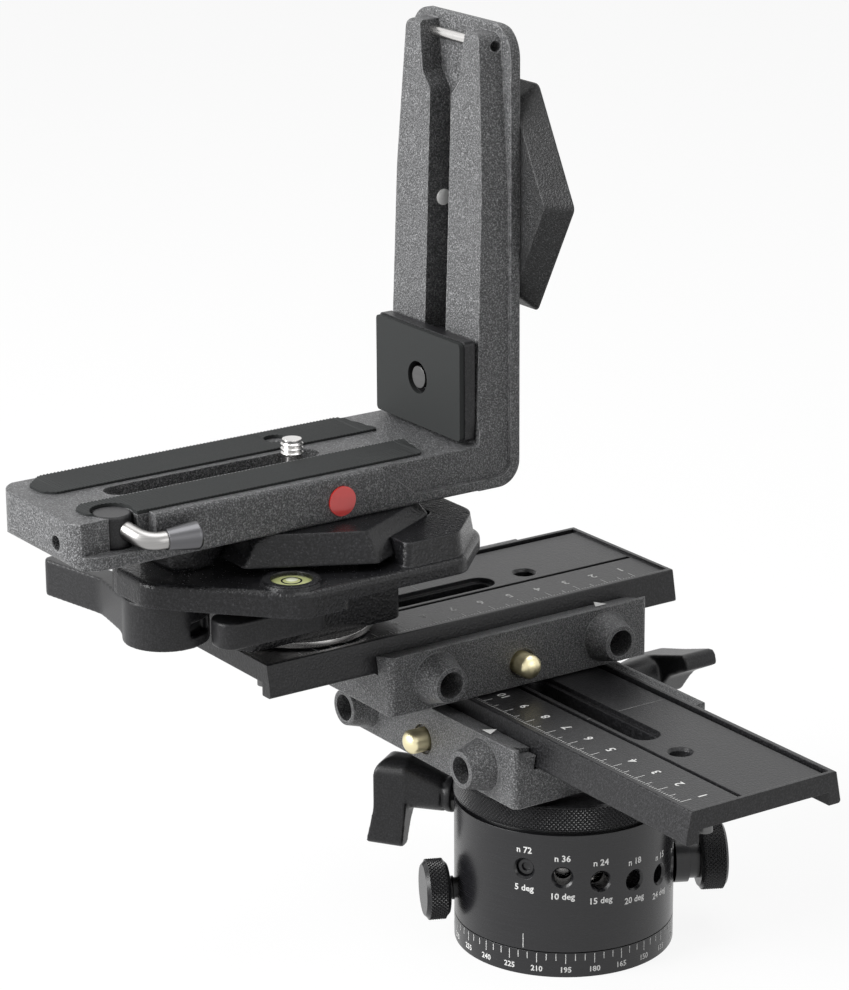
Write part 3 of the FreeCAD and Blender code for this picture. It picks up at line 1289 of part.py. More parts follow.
def camera_screw():
    """A captive screw: head under the slot, a thin neck through it and the thread above."""
    top = BASE_TOP + CAMERA_SCREW_OUT
    z1 = BRACKET_Z + BASE_SLOT_STEP_H - FACE_GAP / 2 - SCREW_WASHER_T - FACE_GAP / 2
    z0 = z1 - CAMERA_SCREW_HEAD_H
    screw = rod(CAMERA_SCREW_HEAD_R, (0, -CAMERA_SCREW_Y, z0), UP, CAMERA_SCREW_HEAD_H)
    screw = screw.fuse(rod(CAMERA_SCREW_NECK_R, (0, -CAMERA_SCREW_Y, z0), UP, top - z0))
    thread = rod(CAMERA_SCREW_R, (0, -CAMERA_SCREW_Y, top - CAMERA_SCREW_THREAD), UP, CAMERA_SCREW_THREAD)
    thread = thread.makeChamfer(THREAD_BEVEL, [e for e in thread.Edges if e.Closed and e.BoundBox.ZMin > top - 0.01])
    slot = box(-CAMERA_SCREW_HEAD_R, CAMERA_SCREW_HEAD_R, -CAMERA_SCREW_Y - DRIVE_SLOT_W / 2,
               -CAMERA_SCREW_Y + DRIVE_SLOT_W / 2, z0, z0 + DRIVE_SLOT_DEPTH)
    return at_bracket(screw.fuse(thread).cut(slot))


def swing_points():
    """The rod's start, its bend and the sleeve's far end."""
    axis = V(SWING_X, -SWING_Y, BRACKET_Z + SWING_ROD_RISE + SWING_ROD_DROP)
    bend = axis + V(SWING_BEND_X, SWING_BEND_Y, -SWING_ROD_DROP)
    start = axis + (bend - axis).normalize() * (SWING_BARREL_R - SWING_ROD_SUNK)
    return start, bend, bend + V(SWING_SPREAD, SWING_LENGTH, 0)


def swing_rod():
    start, bend, far = swing_points()
    into = (bend - start).normalize()
    ahead = (far - bend).normalize()
    end = far - ahead * SLEEVE_END
    reach = SWING_BEND_R * math.tan(into.getAngle(ahead) / 2)
    a = bend - into * reach
    b = bend + ahead * reach
    centre = a + (ahead - into * into.dot(ahead)).normalize() * SWING_BEND_R
    middle = centre + (bend - centre).normalize() * SWING_BEND_R
    path = Part.Wire([Part.LineSegment(start, a).toShape(), Part.Arc(a, middle, b).toShape(),
                      Part.LineSegment(b, end).toShape()])
    section = Part.Wire(Part.makeCircle(SWING_ROD_R, start, into))
    return path.makePipeShell([section], True, True)


def swing_barrel():
    """The barrel that turns in the bracket's pocket, with the rod set in its side."""
    low = BRACKET_Z + SWING_LEDGE + FACE_GAP
    barrel = rod(SWING_BARREL_R, (SWING_X, -SWING_Y, low), UP, BASE_TOP - low)
    barrel = barrel.makeChamfer(SWING_BARREL_BEVEL, [e for e in barrel.Edges if e.BoundBox.ZMin > BASE_TOP - 0.01])
    return at_bracket(barrel.cut(swing_rod()))


def swing_lever():
    """A steel rod that leaves the barrel sideways and bends to run beside the bracket."""
    return at_bracket(swing_rod())


def lever_sleeve():
    bend, far = swing_points()[1:]
    sleeve = cone(SLEEVE_SMALL_R, SLEEVE_R, (0, 0, 0), UP, SLEEVE_L)
    sleeve = sleeve.makeFillet(SLEEVE_ROUND, [e for e in sleeve.Edges if e.BoundBox.ZMin > SLEEVE_L - 0.01])
    sleeve = sleeve.cut(rod(SWING_ROD_R, (0, 0, 0), UP, SLEEVE_L - SLEEVE_END))
    ahead = (far - bend).normalize()
    start = far - ahead * SLEEVE_L
    return at_bracket(along(sleeve, (start.x, start.y, start.z), (ahead.x, ahead.y, ahead.z)))


# Camera plate on the arm

def pad_back():
    return arm_face(BASE_TOP) - FACE_GAP


def pad_z():
    return BASE_TOP + STRIP_T - STRIP_SEAT + FACE_GAP


def pad_outline(inset=0.0):
    z0 = pad_z() + inset
    z1 = pad_z() + PAD_H - inset
    half = PAD_HALF_W - inset
    return mirrored([(half, z0, PAD_CORNER_R), (half, z1, PAD_CORNER_R)])


def arm_camera_plate():
    back = pad_back()
    plate = prism_y(pad_outline(), back - PAD_METAL_T, back)
    tenon_z0 = BRACKET_Z + ARM_SLOT_LOW + TENON_LIFT
    tenon = box(-TENON_HALF, TENON_HALF, back, back + TENON_DEPTH, tenon_z0, pad_z() + PAD_H - TENON_DROP)
    plate = plate.fuse(tenon)
    z = pad_z() + PAD_H / 2
    plate = plate.cut(rod(PAD_HOLE_R, (0, back - PAD_METAL_T - 1, z), (0, 1, 0), PAD_METAL_T))
    return at_bracket(plate.cut(rod(CAMERA_SCREW_R + RUN_GAP, (0, back - 8, z), (0, 1, 0), 20)))


def arm_pad():
    back = pad_back() - PAD_METAL_T
    pad = prism_y(pad_outline(PAD_INSET), back - PAD_RUBBER_T, back)
    z = pad_z() + PAD_H / 2
    return at_bracket(pad.cut(rod(PAD_HOLE_R, (0, back - 3, z), (0, 1, 0), 5)))


def arm_screw():
    z = pad_z() + PAD_H / 2
    tip = pad_back() - PAD_METAL_T - PAD_RUBBER_T + ARM_SCREW_SUNK
    head = pad_back() + TENON_DEPTH + FACE_GAP / 2
    screw = rod(CAMERA_SCREW_R, (0, tip, z), (0, 1, 0), head - tip)
    return at_bracket(screw.fuse(rod(ARM_SCREW_HEAD_R, (0, head, z), (0, 1, 0), ARM_SCREW_HEAD_L)))


def parts():
    yield "scale_ring", scale_ring()
    yield "tripod_bush", tripod_bush()
    yield "pan_spindle", pan_spindle()
    yield "detent_drum", detent_drum()
    yield "spindle_nut", spindle_nut()
    yield "rotor_housing", rotor_housing()
    yield "thrust_washer", thrust_washer()
    yield "knurled_ring", knurled_ring()
    yield "top_disc", top_disc()
    yield "saddle_screws", saddle_screws()
    yield "plunger_collar", plunger_collar()
    yield "plunger_pin", plunger_pin()
    yield "plunger_knob", plunger_knob()
    yield "plunger_spring", plunger_spring()
    yield "drag_thumbscrew", drag_thumbscrew()
    yield "pan_lock_lever", pan_lock_lever()
    yield "pan_lock_screw", pan_lock_screw()
    yield "lower_saddle", lower_saddle()
    yield "upper_saddle", upper_saddle()
    yield "lower_plate", lower_plate()
    yield "upper_plate", upper_plate()
    for level, place, offset in (("lower", lower_at, LOWER_PLATE_OFFSET), ("upper", upper_at, UPPER_PLATE_OFFSET)):
        yield level + "_clamp_bar", place(clamp_bar())
        yield level + "_guide_pins", place(guide_pins())
        yield level + "_lock_screw", place(slide_lock_screw())
        yield level + "_lock_lever", place(slide_lock_lever())
        yield level + "_stop_button", place(stop_button())
        yield level + "_button_spring", place(button_spring())
        yield level + "_end_stops", place(moved(end_stops(), offset))
    yield "cross_screws", cross_screws()
    yield "clamp_disc", clamp_disc()
    yield "clamp_bolt", clamp_bolt()
    yield "clamp_body", clamp_body()
    yield "moving_jaw", moving_jaw()
    yield "main_lever", main_lever()
    yield "safety_catch", safety_catch()
    yield "clamp_pins", clamp_pins()
    yield "level_cup", level_cup()
    yield "level_vial", level_vial()
    yield "elbow_bracket", elbow_bracket()
    yield "base_hex_plate", base_hex_plate()
    yield "arm_hex_plate", arm_hex_plate()
    yield "grip_strips", grip_strips()
    yield "slot_pin", slot_pin()
    yield "badge_disc", badge_disc()
    yield "screw_washer", screw_washer()
    yield "camera_screw", camera_screw()
    yield "swing_barrel", swing_barrel()
    yield "swing_lever", swing_lever()
    yield "lever_sleeve", lever_sleeve()
    yield "arm_camera_plate", arm_camera_plate()
    yield "arm_pad", arm_pad()
    yield "arm_screw", arm_screw()


os.makedirs("parts", exist_ok=True)
for name, shape in parts():
    if not shape.isValid():
        raise ValueError(name + " is not a valid shape")
    shape.exportStep("parts/" + name + ".step")
    print(name, len(shape.Solids), round(shape.Volume, 1))
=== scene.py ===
import json
import math

import bmesh
import bpy
from bpy.props import FloatProperty, FloatVectorProperty, IntProperty, PointerProperty
from mathutils import Matrix, Vector


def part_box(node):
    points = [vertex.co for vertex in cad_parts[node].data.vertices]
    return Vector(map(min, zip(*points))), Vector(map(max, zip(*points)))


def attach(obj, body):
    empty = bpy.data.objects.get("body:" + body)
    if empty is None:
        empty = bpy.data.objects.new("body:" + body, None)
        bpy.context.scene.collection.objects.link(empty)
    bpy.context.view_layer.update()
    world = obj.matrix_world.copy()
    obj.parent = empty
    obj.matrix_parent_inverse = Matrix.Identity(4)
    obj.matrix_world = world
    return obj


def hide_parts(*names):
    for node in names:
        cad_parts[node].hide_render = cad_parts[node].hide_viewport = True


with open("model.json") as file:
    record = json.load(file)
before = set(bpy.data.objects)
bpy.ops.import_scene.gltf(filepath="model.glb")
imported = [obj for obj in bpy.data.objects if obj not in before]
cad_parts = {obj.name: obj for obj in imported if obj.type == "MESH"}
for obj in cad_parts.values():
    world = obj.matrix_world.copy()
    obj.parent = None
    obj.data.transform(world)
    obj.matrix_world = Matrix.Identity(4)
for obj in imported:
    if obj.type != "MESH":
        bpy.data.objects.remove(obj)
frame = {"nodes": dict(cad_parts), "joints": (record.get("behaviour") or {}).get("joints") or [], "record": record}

bl_info = {
    "name": "Panoramic Head Dressing",
    "version": (1, 0, 0),
    "blender": (4, 5, 0),
    "location": "3D View > Sidebar > Head",
    "description": "Finishes and fine pieces for a panoramic camera head",
    "category": "Object",
}

MM = 0.001
UP = Vector((0, 0, 1))

# Segments round the turned pieces
RING_SEGMENTS = 128
KNOB_SEGMENTS = 96
ROUND_SEGMENTS = 64
SMALL_SEGMENTS = 40

# Index holes round the rotor: stops in a turn, plan angles in degrees, heights
STOPS = (72, 36, 24, 18, 15, 12, 10, 8, 6, 4)
DATUM_ANGLE = -34.2
FIRST_HOLE = -22.9
HOLE_STEP = 19.93
HOLE_TOP = 32.03 * MM
HOLE_DROP = 1.77 * MM
LABEL_ABOVE = 5.6 * MM
LABEL_BELOW = 5.8 * MM

# Degree scale on the base ring and the index line above it
RING_ZERO = 193.94
TICK_EVERY = 5
NUMBER_EVERY = 15
TICK_L = 2.0 * MM
NUMBERED_TICK_L = 2.9 * MM
RING_NUMBER_Z = 2.2 * MM
INDEX_LINE = -23.3
INDEX_LINE_L = 4.2 * MM

# Centimetre scales on the plates, on each plate's own axes
LAST_NUMBER = 12
PLATE_RECESS = 0.6 * MM
SCALE_EDGE_Y = -22.75 * MM
NUMBER_Y = -14.2 * MM
CENTIMETRE_L = 4.6 * MM
HALF_L = 3.2 * MM
MILLIMETRE_L = 1.6 * MM
MARK_R = 2.4 * MM

# Drag screw, measured out from the pan axis
DRAG_Z = 16.2 * MM
DRAG_START = 24.3 * MM
DRAG_RING = 32.2 * MM
DRAG_FOOT = 34.0 * MM
DRAG_KNOB_L = 7.0 * MM
DRAG_KNOB_R = 8.8 * MM
DRAG_BEVEL = 1.0 * MM
DRAG_SHANK_R = 2.95 * MM
DRAG_NECK_R = 2.9 * MM
DRAG_COLLAR_R = 3.4 * MM
DRAG_TIP_R = 2.5 * MM

# Stop buttons
BUTTON_R = 3.5 * MM
BUTTON_NOSE = 2.2 * MM
BUTTON_STEM_R = 1.3 * MM
BUTTON_STEM_L = 7.0 / 3 * MM

# Camera screw
SCREW_HEAD_H = 3.4 * MM
SCREW_HEAD_EDGE = 0.4 * MM
SCREW_TOP_EDGE = 0.2 * MM
SCREW_NECK_R = 2.5 * MM
SCREW_SOCKET_R = 2.3 * MM
SCREW_SOCKET_DEPTH = 1.4 * MM
SCREW_THREAD_R = 3.17 * MM
SCREW_THREAD_L = 4.7 * MM

# Plugs
SLOT_PLUG_PLACE = (-50.2 * MM, -6.2 * MM, 207.7 * MM)
SLOT_PLUG_R = 2.3 * MM
INDEX_PLUG_R = 2.55 * MM
INDEX_PLUG_SUNK = 3.4 * MM

CAST_NODES = (
    "main_lever", "safety_catch", "moving_jaw", "pan_lock_lever", "lower_lock_lever", "upper_lock_lever",
)
# The arm screw's dark steel is painted shade, standing for the shadowed socket in its end.
# The hexagon plate behind the arm gets a darker copy of the powder coat, which is painted shade.
OWN_FINISHES = {"arm_hex_plate": "painted_shade_coat", "swing_lever": "satin_steel", "arm_screw": "dark_steel"}


def length_property(name, description, value):
    return FloatProperty(name=name, description=description, default=value, unit="LENGTH")


def colour_property(name, description, value):
    return FloatVectorProperty(name=name, description=description, default=value, subtype="COLOR")


def angle_property(name, description, degrees):
    return FloatProperty(name=name, description=description, default=math.radians(degrees), subtype="ANGLE")


class HeadSizes(bpy.types.PropertyGroup):
    knurl_pitch: length_property("Knurl pitch", "Width of one diamond", 1.25 * MM)
    knurl_depth: length_property("Knurl depth", "Height of one diamond", 0.5 * MM)
    ink_lift: length_property("Ink lift", "How far printed marks stand off", 0.03 * MM)
    line_width: length_property("Line width", "Width of a printed line", 0.2 * MM)
    ring_text: length_property("Ring numbers", "Text size on the ring", 2.3 * MM)
    hole_text: length_property("Hole labels", "Text size by the index holes", 2.6 * MM)
    plate_text: length_property("Plate numbers", "Text size on the plates", 3.9 * MM)
    rib_pitch: length_property("Rib pitch", "Spacing of the rubber's ribs", 1.1 * MM)
    rib_height: length_property("Rib height", "Height of the rubber's ribs", 0.25 * MM)
    thread_pitch: length_property("Thread pitch", "Pitch of the camera screw", 1.27 * MM)
    thread_depth: length_property("Thread depth", "Depth of the camera screw's thread", 0.45 * MM)
    cast_voxel: length_property("Casting cell", "Cell size for the rounded castings", 0.4 * MM)
    cast_rounds: IntProperty(name="Casting rounds", description="Smoothing steps for the rounded castings",
                             default=10)


class HeadColours(bpy.types.PropertyGroup):
    coat: colour_property("Powder coat", "Speckled coat", (0.082, 0.083, 0.085))
    coat_speck: colour_property("Coat specks", "Light specks in the coat", (0.31, 0.31, 0.315))
    casting: colour_property("Casting", "Glossy black casting", (0.009, 0.009, 0.010))
    anodised: colour_property("Anodised", "Turned black parts", (0.005, 0.005, 0.006))
    plate: colour_property("Plate", "Satin black plates", (0.013, 0.013, 0.014))
    lever: colour_property("Lever", "Dark satin levers", (0.012, 0.012, 0.013))
    steel: colour_property("Steel", "Polished steel", (0.56, 0.55, 0.54))
    dark_steel: colour_property("Dark steel", "Blackened screws", (0.10, 0.10, 0.10))
    brass: colour_property("Brass", "Turned brass", (0.72, 0.62, 0.40))
    rubber: colour_property("Rubber", "Grip strips and pad", (0.014, 0.015, 0.015))
    sleeve: colour_property("Sleeve", "Grey sleeve", (0.10, 0.10, 0.105))
    disc: colour_property("Disc", "Plain enamel disc", (0.72, 0.035, 0.03))
    vial: colour_property("Level", "Level liquid", (0.56, 0.60, 0.26))
    bubble: colour_property("Bubble", "The level's bubble", (0.75, 0.78, 0.6))
    ink: colour_property("Ink", "Printed marks", (0.70, 0.70, 0.69))
    grey_ink: colour_property("Grey ink", "Thin lines on the plates", (0.26, 0.26, 0.26))


class HeadStage(bpy.types.PropertyGroup):
    yaw: angle_property("Yaw", "Camera turn about Z", 34.2)
    pitch: angle_property("Pitch", "Camera looks down by", 17.69)
    roll: angle_property("Roll", "Camera roll", -0.37)
    place: FloatVectorProperty(name="Camera place", description="Where the camera stands",
                               default=(0.7687, -0.5698, 0.4369), subtype="TRANSLATION", unit="LENGTH")
    lens: FloatProperty(name="Lens", description="Focal length in millimetres on a 36 mm wide sensor",
                        default=153.57)
    floor: colour_property("Floor", "Floor colour", (0.86, 0.86, 0.86))
    floor_glow: FloatProperty(name="Floor whiteness", description="Share of plain white seen in the floor",
                              default=0.9)
    world: FloatProperty(name="World light", description="Strength of the surrounding light", default=0.2)
    key: FloatProperty(name="Key light", description="Watts of the large light on the left", default=36.0)
    fill: FloatProperty(name="Fill light", description="Watts of the light on the right", default=3.0)
    top: FloatProperty(name="Top light", description="Watts of the overhead light", default=8.0)


def sizes():
    return bpy.context.scene.head_sizes


def colours():
    return bpy.context.scene.head_colours


def stage_settings():
    return bpy.context.scene.head_stage


# Selecting and finishing

def clear_selection():
    if bpy.context.object and bpy.context.object.mode != "OBJECT":
        bpy.ops.object.mode_set(mode="OBJECT")
    bpy.ops.object.select_all(action="DESELECT")


def take(piece):
    """Makes one object the only selected and active one."""
    clear_selection()
    piece.select_set(True)
    bpy.context.view_layer.objects.active = piece


def bake_place(piece):
    take(piece)
    bpy.ops.object.transform_apply(location=True, rotation=True, scale=True)


def apply_all(piece):
    take(piece)
    for modifier in list(piece.modifiers):
        bpy.ops.object.modifier_apply(modifier=modifier.name)


def pick_edges(piece, wanted):
    """Selects, in edit mode, the edges whose two ends pass a test."""
    bpy.ops.object.mode_set(mode="EDIT")
    bpy.ops.mesh.select_mode(type="EDGE")
    bpy.ops.mesh.select_all(action="DESELECT")
    work = bmesh.from_edit_mesh(piece.data)
    for edge in work.edges:
        if wanted(edge.verts[0].co, edge.verts[1].co):
            edge.select = True
    work.select_flush_mode()
    bmesh.update_edit_mesh(piece.data)


def outward(piece):
    """Points every face of a closed piece outwards."""
    take(piece)
    bpy.ops.object.mode_set(mode="EDIT")
    bpy.ops.mesh.select_all(action="SELECT")
    bpy.ops.mesh.remove_doubles(threshold=0.002 * MM)
    bpy.ops.mesh.normals_make_consistent(inside=False)
    bpy.ops.object.mode_set(mode="OBJECT")


def smooth(piece, angle=30):
    take(piece)
    bpy.ops.object.shade_smooth_by_angle(angle=math.radians(angle))


def joined(pieces, name):
    """One piece of several."""
    clear_selection()
    for piece in pieces:
        piece.select_set(True)
    bpy.context.view_layer.objects.active = pieces[0]
    if len(pieces) > 1:
        bpy.ops.object.join()
    pieces[0].name = name
    pieces[0].data.name = name
    return pieces[0]


def hand_over(piece, name, body, slot, material, *replaced):
    """Names a finished piece, gives it its finish and hands it to a body."""
    piece.name = name
    piece.data.name = name
    piece.data.materials.clear()
    piece.data.materials.append(material)
    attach(piece, body)
    if replaced:
        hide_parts(*replaced)


def body_of(node):
    for body, nodes in frame["record"]["behaviour"]["bodies"].items():
        if node in nodes:
            return body
    raise ValueError("no body holds " + node)


def centre(node):
    low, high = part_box(node)
    return (low + high) / 2


def joint_axis(name):
    for joint in frame["joints"]:
        if joint["name"] == name:
            return Vector(joint["axis"]).normalized()
    raise ValueError("no joint is named " + name)


def turned(stations, segments=ROUND_SEGMENTS):
    """A turned solid about Z from (radius, height) stations, closed at both ends."""
    clear_selection()
    first_r, first_z = stations[0]
    bpy.ops.mesh.primitive_circle_add(vertices=segments, radius=first_r, fill_type="NGON", location=(0, 0, 0))
    piece = bpy.context.object
    bpy.ops.object.mode_set(mode="EDIT")
    bpy.ops.transform.translate(value=(0, 0, first_z))
    radius, height = first_r, first_z
    for next_r, next_z in stations[1:]:
        bpy.ops.mesh.extrude_region_move(TRANSFORM_OT_translate={"value": (0, 0, next_z - height)})
        scale = next_r / radius
        bpy.ops.transform.resize(value=(scale, scale, 1), center_override=(0, 0, next_z))
        radius, height = next_r, next_z
    bpy.ops.mesh.select_all(action="SELECT")
    bpy.ops.mesh.normals_make_consistent(inside=False)
    bpy.ops.object.mode_set(mode="OBJECT")
    return piece


def stand_on(piece, start, axis):
    """Turns a piece drawn up Z to an axis and puts its foot at a point."""
    turn = UP.rotation_difference(axis).to_matrix().to_4x4()
    piece.matrix_world = Matrix.Translation(start) @ turn
    bake_place(piece)


def knurled_band(radius, length, pitch, depth):
    """A band of diamond knurling round Z, from 0 to length, its points at the radius."""
    clear_selection()
    around = max(12, round(2 * math.pi * radius / pitch))
    rows = max(2, round(length / pitch))
    bpy.ops.mesh.primitive_cylinder_add(vertices=around, radius=radius - depth, depth=length,
                                        end_fill_type="NOTHING", location=(0, 0, 0))
    band = bpy.context.object
    bpy.ops.object.mode_set(mode="EDIT")
    bpy.ops.transform.translate(value=(0, 0, length / 2))
    pick_edges(band, lambda a, b: abs(a.z - b.z) > length / 2)
    bpy.ops.mesh.subdivide(number_cuts=rows - 1)
    bpy.ops.mesh.select_all(action="SELECT")
    bpy.ops.mesh.poke(offset=0)
    step = length / rows

    def squared(a, b):
        upright = abs((a - b).z) > step * 0.9
        level = abs((a - b).z) < step * 0.1
        inside = step / 2 < a.z < length - step / 2
        return upright or (level and inside)

    pick_edges(band, squared)
    bpy.ops.mesh.dissolve_edges(use_verts=False)
    bpy.ops.mesh.select_all(action="SELECT")
    bpy.ops.mesh.poke(offset=depth)
    bpy.ops.mesh.normals_make_consistent(inside=False)
    bpy.ops.object.mode_set(mode="OBJECT")
    return band


def merged_copy(node):
    """A closed copy of a CAD node's mesh."""
    source = frame["nodes"][node]
    copy = bpy.data.objects.new(node + "_copy", source.data.copy())
    bpy.context.scene.collection.objects.link(copy)
    take(copy)
    bpy.ops.object.mode_set(mode="EDIT")
    bpy.ops.mesh.select_all(action="SELECT")
    bpy.ops.mesh.remove_doubles(threshold=0.002 * MM)
    bpy.ops.object.mode_set(mode="OBJECT")
    return copy


def softened_copy(node, voxel, rounds):
    """A copy of a CAD node with its edges rounded like a casting's."""
    copy = merged_copy(node)
    remesh = copy.modifiers.new("Cells", "REMESH")
    remesh.mode = "VOXEL"
    remesh.voxel_size = voxel
    soften = copy.modifiers.new("Soften", "SMOOTH")
    soften.factor = 0.5
    soften.iterations = rounds
    apply_all(copy)
    bpy.ops.object.shade_smooth()
    return copy


# Printed marks

def flat_text(words, height):
    """Words as a flat mesh on the XY plane, centred on the origin."""
    clear_selection()
    bpy.ops.object.text_add(location=(0, 0, 0))
    label = bpy.context.object
    label.data.body = words
    label.data.size = height
    label.data.offset = height * 0.02
    label.data.align_x = "CENTER"
    label.data.align_y = "CENTER"
    label.data.resolution_u = 2
    bpy.ops.object.convert(target="MESH")
    return bpy.context.object


def flat_bar(x0, x1, y0, y1):
    """A printed line as a flat rectangle on the XY plane."""
    clear_selection()
    bpy.ops.mesh.primitive_plane_add(size=1, location=((x0 + x1) / 2, (y0 + y1) / 2, 0))
    bar = bpy.context.object
    bar.scale = (x1 - x0, y1 - y0, 1)
    bake_place(bar)
    return bar


def wrap_round(mark, radius, angle, height):
    """Wraps a flat mark, its x along the curve and its y up, round the Z axis."""
    for vertex in mark.data.vertices:
        turn = angle + vertex.co.x / radius
        z = height + vertex.co.y
        vertex.co = Vector((math.cos(turn) * radius, math.sin(turn) * radius, z))


def lay_down(mark, place, turn):
    """Puts a flat mark at a place, turned about Z."""
    mark.matrix_world = Matrix.Translation(place) @ Matrix.Rotation(turn, 4, "Z")
    bake_place(mark)


# Finishes

def new_node(tree, kind, **settings):
    node = tree.nodes.new(kind)
    for key, value in settings.items():
        setattr(node, key, value)
    return node


def set_values(node, **values):
    for key, value in values.items():
        node.inputs[key.replace("_", " ")].default_value = value


def rgba(colour):
    return (colour[0], colour[1], colour[2], 1.0)


def scaled(colour, times):
    return [c * times for c in colour]


def new_group(name, inputs, outputs):
    """A shader node group with named float or vector sockets."""
    group = bpy.data.node_groups.new(name, "ShaderNodeTree")
    for socket, kind, value in inputs:
        made = group.interface.new_socket(socket, in_out="INPUT", socket_type=kind)
        if value is not None:
            made.default_value = value
    for socket, kind in outputs:
        group.interface.new_socket(socket, in_out="OUTPUT", socket_type=kind)
    return group, group.nodes.new("NodeGroupInput"), group.nodes.new("NodeGroupOutput")


def grain_group():
    """Bumpy grain and scattered light specks, as on a sprayed or sand-cast coat."""
    if "Coat Grain" in bpy.data.node_groups:
        return bpy.data.node_groups["Coat Grain"]
    inputs = [("Vector", "NodeSocketVector", None), ("Grain", "NodeSocketFloat", 1400.0),
              ("Speck Edge", "NodeSocketFloat", 0.62)]
    outputs = [("Height", "NodeSocketFloat"), ("Specks", "NodeSocketFloat")]
    group, start, end = new_group("Coat Grain", inputs, outputs)
    noise = new_node(group, "ShaderNodeTexNoise")
    set_values(noise, Detail=2.5, Roughness=0.6)
    cells = new_node(group, "ShaderNodeTexVoronoi", feature="F1")
    mix = new_node(group, "ShaderNodeMath", operation="MULTIPLY_ADD")
    mix.inputs[1].default_value = -0.45
    ramp = new_node(group, "ShaderNodeMapRange")
    set_values(ramp, From_Max=0.78)
    group.links.new(start.outputs["Vector"], noise.inputs["Vector"])
    group.links.new(start.outputs["Vector"], cells.inputs["Vector"])
    group.links.new(start.outputs["Grain"], noise.inputs["Scale"])
    group.links.new(start.outputs["Grain"], cells.inputs["Scale"])
    group.links.new(cells.outputs["Distance"], mix.inputs[0])
    group.links.new(noise.outputs["Fac"], mix.inputs[2])
    group.links.new(noise.outputs["Fac"], ramp.inputs["Value"])
    group.links.new(start.outputs["Speck Edge"], ramp.inputs["From Min"])
    group.links.new(mix.outputs[0], end.inputs["Height"])
    group.links.new(ramp.outputs["Result"], end.inputs["Specks"])
    return group


def wear_group():
    """Marks the edges, where a rounded normal leaves the flat one, broken up by noise."""
    if "Edge Wear" in bpy.data.node_groups:
        return bpy.data.node_groups["Edge Wear"]
    inputs = [("Vector", "NodeSocketVector", None), ("Rounded Normal", "NodeSocketVector", None),
              ("Breaks", "NodeSocketFloat", 300.0)]
    group, start, end = new_group("Edge Wear", inputs, [("Wear", "NodeSocketFloat")])
    flat = new_node(group, "ShaderNodeNewGeometry")
    dot = new_node(group, "ShaderNodeVectorMath", operation="DOT_PRODUCT")
    ramp = new_node(group, "ShaderNodeMapRange")
    set_values(ramp, From_Min=0.985, From_Max=0.86)
    noise = new_node(group, "ShaderNodeTexNoise")
    set_values(noise, Detail=3.0)
    broken = new_node(group, "ShaderNodeMapRange")
    set_values(broken, From_Min=0.35, From_Max=0.62)
    both = new_node(group, "ShaderNodeMath", operation="MULTIPLY")
    group.links.new(flat.outputs["Normal"], dot.inputs[0])
    group.links.new(start.outputs["Rounded Normal"], dot.inputs[1])
    group.links.new(dot.outputs["Value"], ramp.inputs["Value"])
    group.links.new(start.outputs["Vector"], noise.inputs["Vector"])
    group.links.new(start.outputs["Breaks"], noise.inputs["Scale"])
    group.links.new(noise.outputs["Fac"], broken.inputs["Value"])
    group.links.new(ramp.outputs["Result"], both.inputs[0])
    group.links.new(broken.outputs["Result"], both.inputs[1])
    group.links.new(both.outputs[0], end.inputs["Wear"])
    return group


def blank_material(name):
    material = bpy.data.materials.new(name)
    material.use_nodes = True
    tree = material.node_tree
    shader = tree.nodes["Principled BSDF"]
    where = new_node(tree, "ShaderNodeTexCoord")
    return material, tree, shader, where.outputs["Object"]


def blended(tree, factor, first, second):
    """Mixes two colours by a mask and returns the mixed colour's socket."""
    mix = new_node(tree, "ShaderNodeMix", data_type="RGBA")
    mix.inputs[6].default_value = rgba(first)
    mix.inputs[7].default_value = rgba(second)
    tree.links.new(factor, mix.inputs[0])
    return mix.outputs[2]


def ranged(tree, value, low, high):
    ramp = new_node(tree, "ShaderNodeMapRange")
    set_values(ramp, To_Min=low, To_Max=high)
    tree.links.new(value, ramp.inputs["Value"])
    return ramp.outputs["Result"]


def coated(name, colour, speck_colour, grain, bump, rough, edge=0.4 * MM, speck_edge=0.56, mottle=0.35):
    """A coated metal: grainy, speckled, with softly rounded and slightly brighter edges."""
    material, tree, shader, where = blank_material(name)
    grains = new_node(tree, "ShaderNodeGroup", node_tree=grain_group())
    set_values(grains, Grain=grain, Speck_Edge=speck_edge)
    tree.links.new(where, grains.inputs["Vector"])
    rounded = new_node(tree, "ShaderNodeBevel", samples=4)
    set_values(rounded, Radius=edge)
    wear = new_node(tree, "ShaderNodeGroup", node_tree=wear_group())
    tree.links.new(where, wear.inputs["Vector"])
    tree.links.new(rounded.outputs["Normal"], wear.inputs["Rounded Normal"])
    most = new_node(tree, "ShaderNodeMath", operation="MAXIMUM")
    tree.links.new(grains.outputs["Specks"], most.inputs[0])
    tree.links.new(wear.outputs["Wear"], most.inputs[1])
    patches = ranged(tree, grains.outputs["Height"], -0.7, 3.3)
    mottled = blended(tree, patches, scaled(colour, 1 - mottle), scaled(colour, 1 + mottle))
    coat = new_node(tree, "ShaderNodeMix", data_type="RGBA")
    coat.inputs[7].default_value = rgba(speck_colour)
    tree.links.new(most.outputs[0], coat.inputs[0])
    tree.links.new(mottled, coat.inputs[6])
    tree.links.new(coat.outputs[2], shader.inputs["Base Color"])
    tree.links.new(ranged(tree, grains.outputs["Height"], rough[0], rough[1]), shader.inputs["Roughness"])
    relief = new_node(tree, "ShaderNodeBump")
    set_values(relief, Strength=1.0, Distance=bump)
    tree.links.new(grains.outputs["Height"], relief.inputs["Height"])
    tree.links.new(rounded.outputs["Normal"], relief.inputs["Normal"])
    tree.links.new(relief.outputs["Normal"], shader.inputs["Normal"])
    set_values(shader, Specular_IOR_Level=0.3)
    return material


